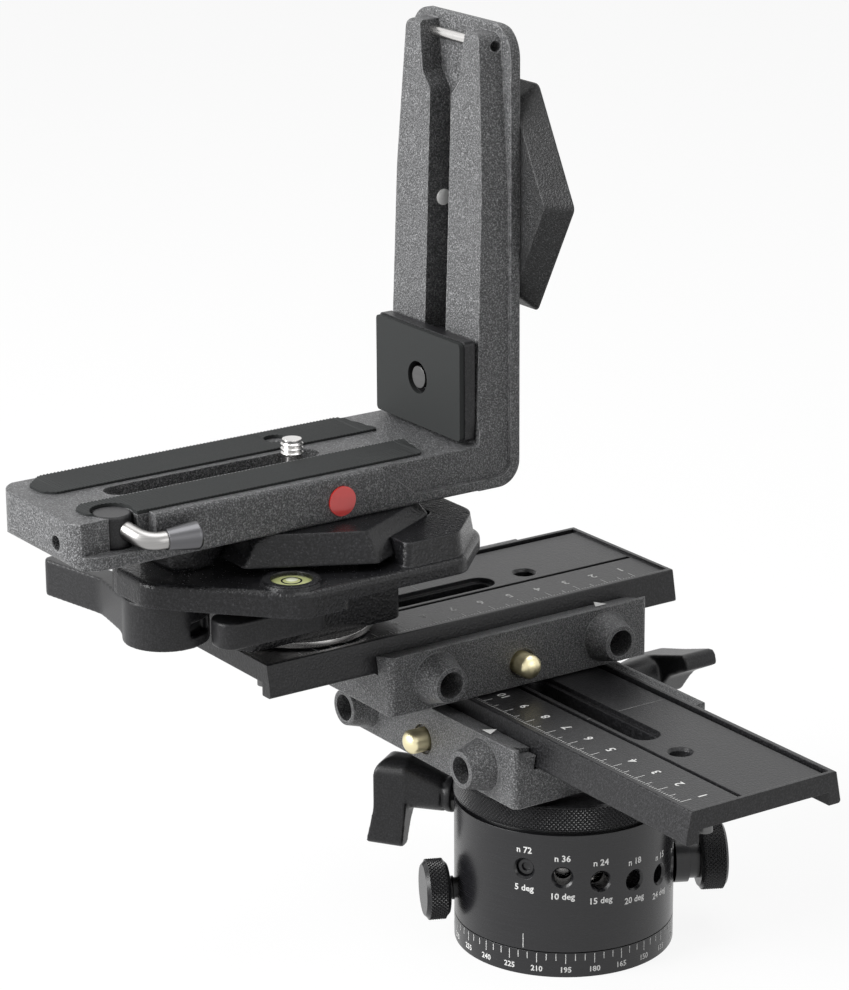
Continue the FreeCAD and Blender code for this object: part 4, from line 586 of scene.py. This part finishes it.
def turned_finish(name, colour, rough, metallic=0.0, lines=2600.0, bump=0.004 * MM, edge=0.25 * MM):
    """A lathe-turned surface with fine rings round Z."""
    across = lines / 30
    material, tree, shader, where = blank_material(name)
    place = new_node(tree, "ShaderNodeMapping")
    place.inputs["Scale"].default_value = (across, across, lines)
    tree.links.new(where, place.inputs["Vector"])
    noise = new_node(tree, "ShaderNodeTexNoise")
    set_values(noise, Scale=1.0, Detail=3.0, Roughness=0.6)
    tree.links.new(place.outputs["Vector"], noise.inputs["Vector"])
    rounded = new_node(tree, "ShaderNodeBevel", samples=4)
    set_values(rounded, Radius=edge)
    relief = new_node(tree, "ShaderNodeBump")
    set_values(relief, Strength=1.0, Distance=bump)
    tree.links.new(noise.outputs["Fac"], relief.inputs["Height"])
    tree.links.new(rounded.outputs["Normal"], relief.inputs["Normal"])
    tree.links.new(relief.outputs["Normal"], shader.inputs["Normal"])
    brighter = [min(1.0, c * 1.5 + 0.004) for c in colour]
    tree.links.new(blended(tree, noise.outputs["Fac"], colour, brighter), shader.inputs["Base Color"])
    tree.links.new(ranged(tree, noise.outputs["Fac"], rough[0], rough[1]), shader.inputs["Roughness"])
    set_values(shader, Metallic=metallic)
    return material


def rubber_finish(name):
    """Matt rubber with a fine grain, paler where it is rubbed."""
    material, tree, shader, where = blank_material(name)
    noise = new_node(tree, "ShaderNodeTexNoise")
    set_values(noise, Scale=2400.0, Detail=3.0)
    tree.links.new(where, noise.inputs["Vector"])
    relief = new_node(tree, "ShaderNodeBump")
    set_values(relief, Strength=1.0, Distance=0.03 * MM)
    tree.links.new(noise.outputs["Fac"], relief.inputs["Height"])
    tree.links.new(relief.outputs["Normal"], shader.inputs["Normal"])
    rubber = colours().rubber
    tree.links.new(blended(tree, noise.outputs["Fac"], rubber, scaled(rubber, 1.7)), shader.inputs["Base Color"])
    tree.links.new(ranged(tree, noise.outputs["Fac"], 0.55, 0.8), shader.inputs["Roughness"])
    set_values(shader, Specular_IOR_Level=0.2)
    return material


def ink_finish(name, colour):
    """Printed ink, a little uneven."""
    material, tree, shader, where = blank_material(name)
    noise = new_node(tree, "ShaderNodeTexNoise")
    set_values(noise, Scale=1800.0, Detail=2.0)
    tree.links.new(where, noise.inputs["Vector"])
    tree.links.new(blended(tree, noise.outputs["Fac"], scaled(colour, 0.72), colour), shader.inputs["Base Color"])
    set_values(shader, Roughness=0.5)
    return material


def enamel_finish(name, colour, rough=0.18, coat=0.6):
    """Glossy enamel or liquid under a clear face."""
    material, tree, shader, where = blank_material(name)
    noise = new_node(tree, "ShaderNodeTexNoise")
    set_values(noise, Scale=420.0, Detail=2.0)
    tree.links.new(where, noise.inputs["Vector"])
    tree.links.new(blended(tree, noise.outputs["Fac"], scaled(colour, 0.8), colour), shader.inputs["Base Color"])
    set_values(shader, Roughness=rough, Coat_Weight=coat, Coat_Roughness=0.05)
    return material


FINISHES = {}


def finish(slot):
    """The material for a slot or a name of its own, made once."""
    if slot not in FINISHES:
        c = colours()
        makers = {
            "powder_coat": lambda n: coated(
                n, c.coat, c.coat_speck, grain=2300.0, bump=0.25 * MM, rough=(0.34, 0.5), edge=0.5 * MM,
                mottle=0.5),
            # The powder coat at a fifth of its colour, with the plain coat as its specks: painted shade for the
            # hexagon plate behind the arm.
            "painted_shade_coat": lambda n: coated(
                n, scaled(c.coat, 0.2), c.coat, grain=2300.0, bump=0.2 * MM, rough=(0.36, 0.5), edge=0.6 * MM),
            "gloss_casting": lambda n: coated(
                n, c.casting, scaled(c.casting, 3.5), grain=1300.0, bump=0.14 * MM, rough=(0.2, 0.34),
                edge=0.8 * MM, speck_edge=0.6),
            "plate_black": lambda n: coated(
                n, c.plate, scaled(c.plate, 2.5), grain=1700.0, bump=0.08 * MM, rough=(0.28, 0.42)),
            "lever_black": lambda n: coated(
                n, c.lever, scaled(c.lever, 2.0), grain=2200.0, bump=0.03 * MM, rough=(0.3, 0.46), edge=0.6 * MM),
            "knurled_black": lambda n: coated(
                n, c.plate, scaled(c.plate, 2.2), grain=3000.0, bump=0.01 * MM, rough=(0.26, 0.4), edge=0.1 * MM),
            "black_anodised": lambda n: turned_finish(n, c.anodised, (0.24, 0.36)),
            "scale_black": lambda n: turned_finish(n, c.anodised, (0.2, 0.32)),
            "steel": lambda n: turned_finish(n, c.steel, (0.16, 0.3), metallic=1.0),
            "satin_steel": lambda n: turned_finish(n, scaled(c.steel, 0.5), (0.26, 0.4), metallic=1.0),
            "dark_steel": lambda n: turned_finish(n, c.dark_steel, (0.3, 0.45), metallic=1.0),
            "brass": lambda n: turned_finish(
                n, c.brass, (0.3, 0.4), metallic=1.0, lines=400.0, bump=0.001 * MM, edge=0.8 * MM),
            "sleeve_grey": lambda n: turned_finish(
                n, c.sleeve, (0.25, 0.4), metallic=1.0, lines=700.0, bump=0.001 * MM),
            "rubber_grip": rubber_finish,
            "disc_red": lambda n: enamel_finish(n, c.disc),
            "level_lime": lambda n: enamel_finish(n, c.vial, rough=0.1, coat=1.0),
            "bubble": lambda n: enamel_finish(n, c.bubble, rough=0.08, coat=1.0),
            "ink_white": lambda n: ink_finish(n, c.ink),
            "ink_grey": lambda n: ink_finish(n, c.grey_ink),
        }
        FINISHES[slot] = makers[slot](slot)
    return FINISHES[slot]


class HEAD_OT_finishes(bpy.types.Operator):
    """Give every solid part of the head the finish of its slot, or one of its own"""
    bl_idname = "head.finishes"
    bl_label = "Finish the Solid Parts"

    def execute(self, context):
        for entry in frame["record"]["subparts"]:
            node = frame["nodes"][entry["node"]]
            node.data.materials.clear()
            node.data.materials.append(finish(OWN_FINISHES.get(entry["node"], entry["material_slot"])))
        return {"FINISHED"}


class HEAD_OT_knurled_ring(bpy.types.Operator):
    """Model the diamond knurling round the top of the rotor"""
    bl_idname = "head.knurled_ring"
    bl_label = "Knurl the Ring"

    def execute(self, context):
        s = sizes()
        low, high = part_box("knurled_ring")
        radius = (high.x - low.x) / 2
        rim = 0.5 * MM
        land = rim * 0.8
        bore = 17.2 * MM
        band = knurled_band(radius, high.z - low.z - 2 * rim, s.knurl_pitch, s.knurl_depth)
        stand_on(band, Vector((0, 0, low.z + rim)), UP)
        body_r = radius - s.knurl_depth
        drum = turned([
            (bore, low.z), (body_r - rim, low.z), (body_r, low.z + land),
            (body_r, high.z - land), (body_r - rim, high.z), (bore, high.z),
        ], RING_SEGMENTS)
        ring = joined([band, drum], "knurled_ring_fine")
        smooth(ring, 20)
        hand_over(ring, "knurled_ring_fine", "rotor", "knurled_black", finish("knurled_black"), "knurled_ring")
        return {"FINISHED"}


def knurled_knob(node, radius, length, axis, recess_r):
    """A knurled knob with bevelled faces and a dished outer face, centred on a CAD knob."""
    s = sizes()
    bevel = 0.7 * MM
    band = knurled_band(radius, length - 2 * bevel, s.knurl_pitch, s.knurl_depth)
    stand_on(band, Vector((0, 0, bevel)), UP)
    core = radius - s.knurl_depth
    dish = 0.5 * MM
    drum = turned([
        (core - bevel, 0), (core, bevel), (core, length - bevel), (core - bevel * 1.2, length),
        (recess_r, length), (recess_r - dish, length - dish),
        (recess_r * 0.4, length - dish), (recess_r * 0.35, length - dish),
    ], KNOB_SEGMENTS)
    knob = joined([band, drum], node + "_fine")
    smooth(knob, 20)
    stand_on(knob, centre(node) - axis * (length / 2), axis)
    return knob


class HEAD_OT_knobs(bpy.types.Operator):
    """Model the knurled knobs of the index plunger and of the drag screw"""
    bl_idname = "head.knobs"
    bl_label = "Knurl the Knobs"

    def execute(self, context):
        axis = joint_axis("plunger_pull")
        knob = knurled_knob("plunger_knob", 10.1 * MM, 7.7 * MM, axis, 7.5 * MM)
        material = finish("knurled_black")
        hand_over(knob, "plunger_knob_fine", "plunger", "knurled_black", material, "plunger_knob")
        self.drag_screw()
        return {"FINISHED"}

    def drag_screw(self):
        """The drag screw: a plain shank with a collar, and a knob knurled on its rim."""
        s = sizes()
        axis = joint_axis("drag_turn")
        foot = DRAG_FOOT - DRAG_START
        ring = DRAG_RING - DRAG_START
        knob_end = foot + DRAG_KNOB_L
        band = knurled_band(DRAG_KNOB_R, DRAG_KNOB_L - 2 * DRAG_BEVEL, s.knurl_pitch, s.knurl_depth)
        stand_on(band, Vector((0, 0, foot + DRAG_BEVEL)), UP)
        core = DRAG_KNOB_R - s.knurl_depth
        body = turned([
            (DRAG_TIP_R, 0), (DRAG_SHANK_R, 0.4 * MM), (DRAG_SHANK_R, ring), (DRAG_COLLAR_R, ring),
            (DRAG_COLLAR_R, ring + 0.5 * MM), (DRAG_NECK_R, ring + 0.7 * MM), (DRAG_NECK_R, foot - 0.6 * MM),
            (DRAG_COLLAR_R, foot - 0.4 * MM), (DRAG_COLLAR_R, foot), (core - DRAG_BEVEL, foot),
            (core, foot + DRAG_BEVEL), (core, knob_end - DRAG_BEVEL), (core - DRAG_BEVEL, knob_end),
            (0.5 * MM, knob_end),
        ], KNOB_SEGMENTS)
        screw = joined([band, body], "drag_screw_fine")
        smooth(screw, 20)
        stand_on(screw, axis * DRAG_START + Vector((0, 0, DRAG_Z)), axis)
        hand_over(screw, "drag_screw_fine", "drag", "knurled_black", finish("knurled_black"), "drag_thumbscrew")


class HEAD_OT_buttons(bpy.types.Operator):
    """Turn the brass stop buttons with their rounded noses"""
    bl_idname = "head.buttons"
    bl_label = "Turn the Stop Buttons"

    def execute(self, context):
        for side in ("lower", "upper"):
            node = side + "_stop_button"
            axis = joint_axis(side + "_button_press")
            low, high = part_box(node)
            span = (high - low).dot(Vector((abs(axis.x), abs(axis.y), abs(axis.z))))
            angles = [math.radians(degrees) for degrees in range(5, 91, 17)]
            nose = [(math.sin(angle) * BUTTON_R, (1 - math.cos(angle)) * BUTTON_NOSE) for angle in angles]
            shoulder = span - BUTTON_STEM_L
            button = turned(nose + [(BUTTON_R, shoulder), (BUTTON_STEM_R, shoulder), (BUTTON_STEM_R, span)])
            outward(button)
            smooth(button, 35)
            stand_on(button, centre(node) - axis * (span / 2), axis)
            hand_over(button, node + "_fine", body_of(node), "brass", finish("brass"), node)
        return {"FINISHED"}


class HEAD_OT_castings(bpy.types.Operator):
    """Round the edges of the levers and the moving jaw like castings"""
    bl_idname = "head.castings"
    bl_label = "Round the Castings"

    def execute(self, context):
        s = sizes()
        slots = {entry["node"]: entry["material_slot"] for entry in frame["record"]["subparts"]}
        for node in CAST_NODES:
            piece = softened_copy(node, s.cast_voxel, s.cast_rounds)
            hand_over(piece, node + "_cast", body_of(node), slots[node], finish(slots[node]), node)
        return {"FINISHED"}


class HEAD_OT_rubber(bpy.types.Operator):
    """Cut the cross ribs into the rubber strips on the bracket's base"""
    bl_idname = "head.rubber"
    bl_label = "Rib the Rubber Strips"

    def execute(self, context):
        s = sizes()
        low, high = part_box("grip_strips")
        middle = (low + high) / 2
        margin = 1 * MM
        comb_depth = 3 * MM
        width = high.x - low.x + 2 * margin
        length = high.y - low.y + 2 * margin
        rows = round(length / s.rib_pitch) * 2
        clear_selection()
        bpy.ops.mesh.primitive_grid_add(x_subdivisions=1, y_subdivisions=rows, size=1,
                                        location=(middle.x, middle.y, high.z - 0.01 * MM))
        comb = bpy.context.object
        comb.scale = (width, length, 1)
        bake_place(comb)
        step = length / rows
        first = middle.y - length / 2

        def valley(a, b):
            return abs(a.y - b.y) < step / 2 and round((a.y - first) / step) % 2 == 1

        pick_edges(comb, valley)
        bpy.ops.transform.translate(value=(0, 0, -s.rib_height))
        bpy.ops.mesh.select_all(action="SELECT")
        bpy.ops.mesh.extrude_region_move(TRANSFORM_OT_translate={"value": (0, 0, -comb_depth)})
        bpy.ops.mesh.select_all(action="SELECT")
        bpy.ops.mesh.normals_make_consistent(inside=False)
        bpy.ops.object.mode_set(mode="OBJECT")
        strips = merged_copy("grip_strips")
        ribs = strips.modifiers.new("Ribs", "BOOLEAN")
        ribs.operation = "INTERSECT"
        ribs.solver = "EXACT"
        ribs.object = comb
        apply_all(strips)
        take(comb)
        bpy.ops.object.delete()
        smooth(strips, 25)
        hand_over(strips, "ribbed_strips", "upper_slide", "rubber_grip", finish("rubber_grip"), "grip_strips")
        return {"FINISHED"}


def thread_stations(root, crest, low, high, pitch):
    """Stations of a thread drawn as rings, from its lower end to its upper end."""
    stations = []
    turns = int((high - low) / pitch)
    for turn in range(turns):
        z = low + turn * pitch
        stations += [
            (root, z + 0.1 * pitch), (crest, z + 0.45 * pitch), (crest, z + 0.65 * pitch), (root, z + pitch),
        ]
    return stations + [(root, high)]


class HEAD_OT_camera_screw(bpy.types.Operator):
    """Turn the camera screw with its thread"""
    bl_idname = "head.camera_screw"
    bl_label = "Thread the Camera Screw"

    def execute(self, context):
        s = sizes()
        low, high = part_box("camera_screw")
        head_r = (high.x - low.x) / 2
        head_top = low.z + SCREW_HEAD_H
        thread_low = high.z - SCREW_THREAD_L
        stations = [
            (2.0 * MM, low.z + SCREW_SOCKET_DEPTH), (SCREW_SOCKET_R, low.z),
            (head_r - SCREW_HEAD_EDGE, low.z), (head_r, low.z + SCREW_HEAD_EDGE),
            (head_r, head_top - SCREW_TOP_EDGE), (head_r - SCREW_TOP_EDGE, head_top),
            (SCREW_NECK_R, head_top), (SCREW_NECK_R, thread_low),
        ]
        root = SCREW_THREAD_R - s.thread_depth
        stations += thread_stations(root, SCREW_THREAD_R, thread_low, high.z, s.thread_pitch)
        screw = turned(stations)
        outward(screw)
        smooth(screw, 40)
        middle = centre("camera_screw")
        stand_on(screw, Vector((middle.x, middle.y, 0)), UP)
        hand_over(screw, "camera_screw_fine", "camera_screw", "steel", finish("steel"), "camera_screw")
        return {"FINISHED"}


class HEAD_OT_level(bpy.types.Operator):
    """Model the round level's domed glass, its circle and its bubble"""
    bl_idname = "head.level"
    bl_label = "Model the Level"

    def execute(self, context):
        low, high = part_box("level_vial")
        middle = (low + high) / 2
        radius = (high.x - low.x) / 2
        dome = turned([
            (radius, low.z), (radius, high.z - 0.5 * MM), (radius * 0.93, high.z - 0.3 * MM),
            (radius * 0.7, high.z - 0.12 * MM), (radius * 0.35, high.z - 0.03 * MM),
            (radius * 0.05, high.z - 0.02 * MM),
        ])
        smooth(dome, 60)
        stand_on(dome, Vector((middle.x, middle.y, 0)), UP)
        hand_over(dome, "level_glass", "upper_slide", "level_lime", finish("level_lime"), "level_vial")
        outer = 2.9 * MM
        inner = 2.4 * MM
        sunk = high.z - 0.3 * MM
        circle = turned([(outer, sunk), (outer, high.z), (inner, high.z), (inner, sunk)], 48)
        outward(circle)
        stand_on(circle, Vector((middle.x, middle.y, 0)), UP)
        hand_over(circle, "level_circle", "upper_slide", "gloss_casting", finish("gloss_casting"))
        bubble = turned([
            (1.9 * MM, high.z - 0.2 * MM), (1.6 * MM, high.z + 0.02 * MM), (0.9 * MM, high.z + 0.12 * MM),
            (0.1 * MM, high.z + 0.16 * MM),
        ], 32)
        smooth(bubble, 60)
        drift = Vector((-0.8 * MM, 0.6 * MM, 0))
        stand_on(bubble, Vector((middle.x, middle.y, 0)) + drift, UP)
        hand_over(bubble, "level_bubble", "upper_slide", "level_lime", finish("bubble"))
        return {"FINISHED"}


class HEAD_OT_plugs(bpy.types.Operator):
    """Add the plug in the arm's slot and the plug in the first index hole"""
    bl_idname = "head.plugs"
    bl_label = "Add the Plugs"

    def execute(self, context):
        plug = turned([
            (SLOT_PLUG_R, -1.0 * MM), (SLOT_PLUG_R, 0.3 * MM), (SLOT_PLUG_R - 0.4 * MM, 0.6 * MM),
            (0.2 * MM, 0.7 * MM),
        ], SMALL_SEGMENTS)
        smooth(plug, 35)
        stand_on(plug, Vector(SLOT_PLUG_PLACE), Vector((1, 0, 0)))
        hand_over(plug, "slot_plug", "upper_slide", "steel", finish("ink_white"))
        angle = math.radians(DATUM_ANGLE + FIRST_HOLE)
        way = Vector((math.cos(angle), math.sin(angle), 0))
        low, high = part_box("rotor_housing")
        radius = (high.x - low.x) / 2
        stop = turned([
            (INDEX_PLUG_R, 0), (INDEX_PLUG_R, 1.6 * MM), (2.2 * MM, 1.9 * MM), (1.3 * MM, 1.9 * MM),
            (1.1 * MM, 1.0 * MM), (0.1 * MM, 0.8 * MM),
        ], SMALL_SEGMENTS)
        smooth(stop, 35)
        stand_on(stop, way * (radius - INDEX_PLUG_SUNK) + Vector((0, 0, HOLE_TOP)), way)
        hand_over(stop, "index_plug", "rotor", "scale_black", finish("black_anodised"))
        return {"FINISHED"}


class HEAD_OT_ring_scale(bpy.types.Operator):
    """Print the degree scale on the base ring, and the index line above it"""
    bl_idname = "head.ring_scale"
    bl_label = "Print the Degree Scale"

    def execute(self, context):
        s = sizes()
        low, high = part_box("scale_ring")
        radius = (high.x - low.x) / 2 + s.ink_lift
        tick_top = high.z - 0.3 * MM
        half = s.line_width / 2
        marks = []
        for degree in range(0, 360, TICK_EVERY):
            numbered = degree % NUMBER_EVERY == 0
            length = NUMBERED_TICK_L if numbered else TICK_L
            angle = math.radians(DATUM_ANGLE + RING_ZERO - degree)
            tick = flat_bar(-half, half, -length, 0)
            wrap_round(tick, radius, angle, tick_top)
            marks.append(tick)
            if numbered:
                number = flat_text(str(degree), s.ring_text)
                wrap_round(number, radius, angle, RING_NUMBER_Z)
                marks.append(number)
        scale = joined(marks, "degree_scale")
        hand_over(scale, "degree_scale", "base", "scale_black", finish("ink_white"))
        line = flat_bar(-half, half, 0, INDEX_LINE_L)
        line_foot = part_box("rotor_housing")[0].z + 0.5 * MM
        wrap_round(line, radius, math.radians(DATUM_ANGLE + INDEX_LINE), line_foot)
        hand_over(line, "index_line", "rotor", "scale_black", finish("ink_white"))
        return {"FINISHED"}


class HEAD_OT_hole_labels(bpy.types.Operator):
    """Print the stops and degrees by each index hole"""
    bl_idname = "head.hole_labels"
    bl_label = "Print the Hole Labels"

    def execute(self, context):
        s = sizes()
        low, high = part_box("rotor_housing")
        radius = (high.x - low.x) / 2 + s.ink_lift
        marks = []
        for hole, stops in enumerate(STOPS):
            angle = math.radians(DATUM_ANGLE + FIRST_HOLE + HOLE_STEP * hole)
            height = HOLE_TOP - HOLE_DROP * hole
            above = flat_text("n " + str(stops), s.hole_text)
            wrap_round(above, radius, angle, height + LABEL_ABOVE)
            below = flat_text(str(360 // stops) + " deg", s.hole_text)
            wrap_round(below, radius, angle, height - LABEL_BELOW)
            marks += [above, below]
        labels = joined(marks, "hole_labels")
        hand_over(labels, "hole_labels", "rotor", "scale_black", finish("ink_white"))
        return {"FINISHED"}


def plate_marks(name, node, first_x, turn, body):
    """The centimetre scale of one plate, drawn on its own axes and turned with the plate."""
    s = sizes()
    low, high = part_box(node)
    middle = (low + high) / 2
    half = s.line_width / 2
    marks = []
    for step in range(10, LAST_NUMBER * 10 + 6):
        x = first_x - step * MM
        length = CENTIMETRE_L if step % 10 == 0 else HALF_L if step % 5 == 0 else MILLIMETRE_L
        marks.append(flat_bar(x - half, x + half, SCALE_EDGE_Y, SCALE_EDGE_Y + length))
    for number in range(1, LAST_NUMBER + 1):
        digit = flat_text(str(number), s.plate_text)
        lay_down(digit, Vector((first_x - number * 10 * MM, NUMBER_Y, 0)), math.pi)
        marks.append(digit)
    lines = [flat_bar(-half, half, -6.0 * MM, -4.9 * MM), flat_bar(-half, half, 4.9 * MM, 20.5 * MM)]
    place = Vector((middle.x, middle.y, high.z - PLATE_RECESS + s.ink_lift))
    for group, label, ink in ((marks, name, "ink_white"), (lines, name + "_line", "ink_grey")):
        piece = joined(group, label)
        lay_down(piece, place, turn)
        hand_over(piece, label, body, "plate_black", finish(ink))


def index_mark(name, body, tip, turn):
    """The white triangle on a saddle's wall that points at the plate's scale."""
    clear_selection()
    bpy.ops.mesh.primitive_circle_add(vertices=3, radius=MARK_R, fill_type="NGON", location=(0, -MARK_R, 0))
    mark = bpy.context.object
    bake_place(mark)
    lay_down(mark, tip, turn)
    hand_over(mark, name, body, "powder_coat", finish("ink_white"))


class HEAD_OT_plate_scales(bpy.types.Operator):
    """Print the centimetre scales on both sliding plates"""
    bl_idname = "head.plate_scales"
    bl_label = "Print the Plate Scales"

    def execute(self, context):
        plate_marks("lower_plate_scale", "lower_plate", 71.8 * MM, 0, "lower_slide")
        plate_marks("upper_plate_scale", "upper_plate", 68.35 * MM, math.pi / 2, "upper_slide")
        lift = sizes().ink_lift
        lower_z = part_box("lower_saddle")[1].z + lift
        upper_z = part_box("upper_saddle")[1].z + lift
        index_mark("lower_index_mark", "rotor", Vector((5.3 * MM, -27.3 * MM, lower_z)), 0)
        index_mark("upper_index_mark", "lower_slide", Vector((-18.0 * MM, 23.5 * MM, upper_z)), math.pi / 2)
        return {"FINISHED"}


def seen_rays(tree):
    """One for rays from the camera, in reflections or through glass, else nought."""
    rays = new_node(tree, "ShaderNodeLightPath")
    first = new_node(tree, "ShaderNodeMath", operation="MAXIMUM")
    second = new_node(tree, "ShaderNodeMath", operation="MAXIMUM")
    tree.links.new(rays.outputs["Is Camera Ray"], first.inputs[0])
    tree.links.new(rays.outputs["Is Glossy Ray"], first.inputs[1])
    tree.links.new(first.outputs[0], second.inputs[0])
    tree.links.new(rays.outputs["Is Transmission Ray"], second.inputs[1])
    return second.outputs[0]


class HEAD_OT_stage(bpy.types.Operator):
    """Set the floor, the studio light and the camera"""
    bl_idname = "head.stage"
    bl_label = "Set the Stage"

    def execute(self, context):
        self.set_floor()
        self.set_lights()
        self.set_world(context)
        self.set_camera(context)
        context.scene.view_settings.view_transform = "Standard"
        return {"FINISHED"}

    def set_floor(self):
        clear_selection()
        bpy.ops.mesh.primitive_plane_add(size=8, location=(0, 0, 0))
        floor = bpy.context.object
        floor.name = "floor"
        material = bpy.data.materials.new("floor")
        material.use_nodes = True
        tree = material.node_tree
        shader = tree.nodes["Principled BSDF"]
        set_values(shader, Base_Color=rgba(stage_settings().floor), Roughness=0.9)
        glow = new_node(tree, "ShaderNodeEmission")
        set_values(glow, Strength=1.0)
        share = new_node(tree, "ShaderNodeMath", operation="MULTIPLY")
        share.inputs[1].default_value = stage_settings().floor_glow
        mix = new_node(tree, "ShaderNodeMixShader")
        tree.links.new(seen_rays(tree), share.inputs[0])
        tree.links.new(share.outputs[0], mix.inputs[0])
        tree.links.new(shader.outputs[0], mix.inputs[1])
        tree.links.new(glow.outputs[0], mix.inputs[2])
        tree.links.new(mix.outputs[0], tree.nodes["Material Output"].inputs["Surface"])
        floor.data.materials.append(material)

    def set_lights(self):
        s = stage_settings()
        target = Vector((-0.02, -0.02, 0.12))
        for name, place, size, power in (
                ("key_light", (-0.35, -1.15, 0.75), (0.9, 1.1), s.key),
                ("fill_light", (1.3, 0.35, 0.55), (0.8, 0.8), s.fill),
                ("top_light", (0.0, 0.2, 1.4), (1.0, 1.0), s.top)):
            clear_selection()
            bpy.ops.object.light_add(type="AREA", location=place)
            lamp = bpy.context.object
            lamp.name = name
            lamp.data.shape = "RECTANGLE"
            lamp.data.size, lamp.data.size_y = size
            lamp.data.energy = power
            lamp.rotation_euler = (target - Vector(place)).to_track_quat("-Z", "Y").to_euler()

    def set_world(self, context):
        world = bpy.data.worlds.new("studio")
        context.scene.world = world
        world.use_nodes = True
        tree = world.node_tree
        soft = tree.nodes["Background"]
        soft.inputs["Color"].default_value = (1, 1, 1, 1)
        soft.inputs["Strength"].default_value = stage_settings().world
        white = new_node(tree, "ShaderNodeBackground")
        white.inputs["Color"].default_value = (1, 1, 1, 1)
        mix = new_node(tree, "ShaderNodeMixShader")
        tree.links.new(seen_rays(tree), mix.inputs[0])
        tree.links.new(soft.outputs[0], mix.inputs[1])
        tree.links.new(white.outputs[0], mix.inputs[2])
        tree.links.new(mix.outputs[0], tree.nodes["World Output"].inputs["Surface"])

    def set_camera(self, context):
        s = stage_settings()
        level = math.cos(s.pitch)
        ahead = Vector((-math.cos(s.yaw) * level, math.sin(s.yaw) * level, -math.sin(s.pitch)))
        right = Vector((math.sin(s.yaw), math.cos(s.yaw), 0))
        up = right.cross(ahead)
        tilt_right = math.cos(s.roll) * right + math.sin(s.roll) * up
        tilt_up = -math.sin(s.roll) * right + math.cos(s.roll) * up
        turn = Matrix((tilt_right, tilt_up, -ahead)).transposed()
        clear_selection()
        bpy.ops.object.camera_add(location=s.place, rotation=turn.to_euler())
        camera = bpy.context.object
        camera.name = "photo_camera"
        camera.data.sensor_fit = "HORIZONTAL"
        camera.data.sensor_width = 36.0
        camera.data.lens = s.lens
        camera.data.clip_start = 0.01
        context.scene.camera = camera


class HEAD_PT_panel(bpy.types.Panel):
    """Lists the steps that dress the head"""
    bl_label = "Panoramic Head"
    bl_idname = "HEAD_PT_panel"
    bl_space_type = "VIEW_3D"
    bl_region_type = "UI"
    bl_category = "Head"

    def draw(self, context):
        for step in STEPS:
            self.layout.operator(step.bl_idname)


STEPS = (
    HEAD_OT_finishes, HEAD_OT_knurled_ring, HEAD_OT_knobs, HEAD_OT_buttons, HEAD_OT_castings, HEAD_OT_rubber,
    HEAD_OT_camera_screw, HEAD_OT_level, HEAD_OT_plugs, HEAD_OT_ring_scale, HEAD_OT_hole_labels,
    HEAD_OT_plate_scales, HEAD_OT_stage,
)
GROUPS = (HeadSizes, HeadColours, HeadStage)


def register():
    for group in GROUPS:
        bpy.utils.register_class(group)
    bpy.types.Scene.head_sizes = PointerProperty(type=HeadSizes)
    bpy.types.Scene.head_colours = PointerProperty(type=HeadColours)
    bpy.types.Scene.head_stage = PointerProperty(type=HeadStage)
    for step in STEPS:
        bpy.utils.register_class(step)
    bpy.utils.register_class(HEAD_PT_panel)


def unregister():
    bpy.utils.unregister_class(HEAD_PT_panel)
    for step in reversed(STEPS):
        bpy.utils.unregister_class(step)
    del bpy.types.Scene.head_stage
    del bpy.types.Scene.head_colours
    del bpy.types.Scene.head_sizes
    for group in reversed(GROUPS):
        bpy.utils.unregister_class(group)


def main():
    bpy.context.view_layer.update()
    register()
    bpy.ops.head.finishes()
    bpy.ops.head.knurled_ring()
    bpy.ops.head.knobs()
    bpy.ops.head.buttons()
    bpy.ops.head.castings()
    bpy.ops.head.rubber()
    bpy.ops.head.camera_screw()
    bpy.ops.head.level()
    bpy.ops.head.plugs()
    bpy.ops.head.ring_scale()
    bpy.ops.head.hole_labels()
    bpy.ops.head.plate_scales()
    bpy.ops.head.stage()


if __name__ == "__main__":
    main()
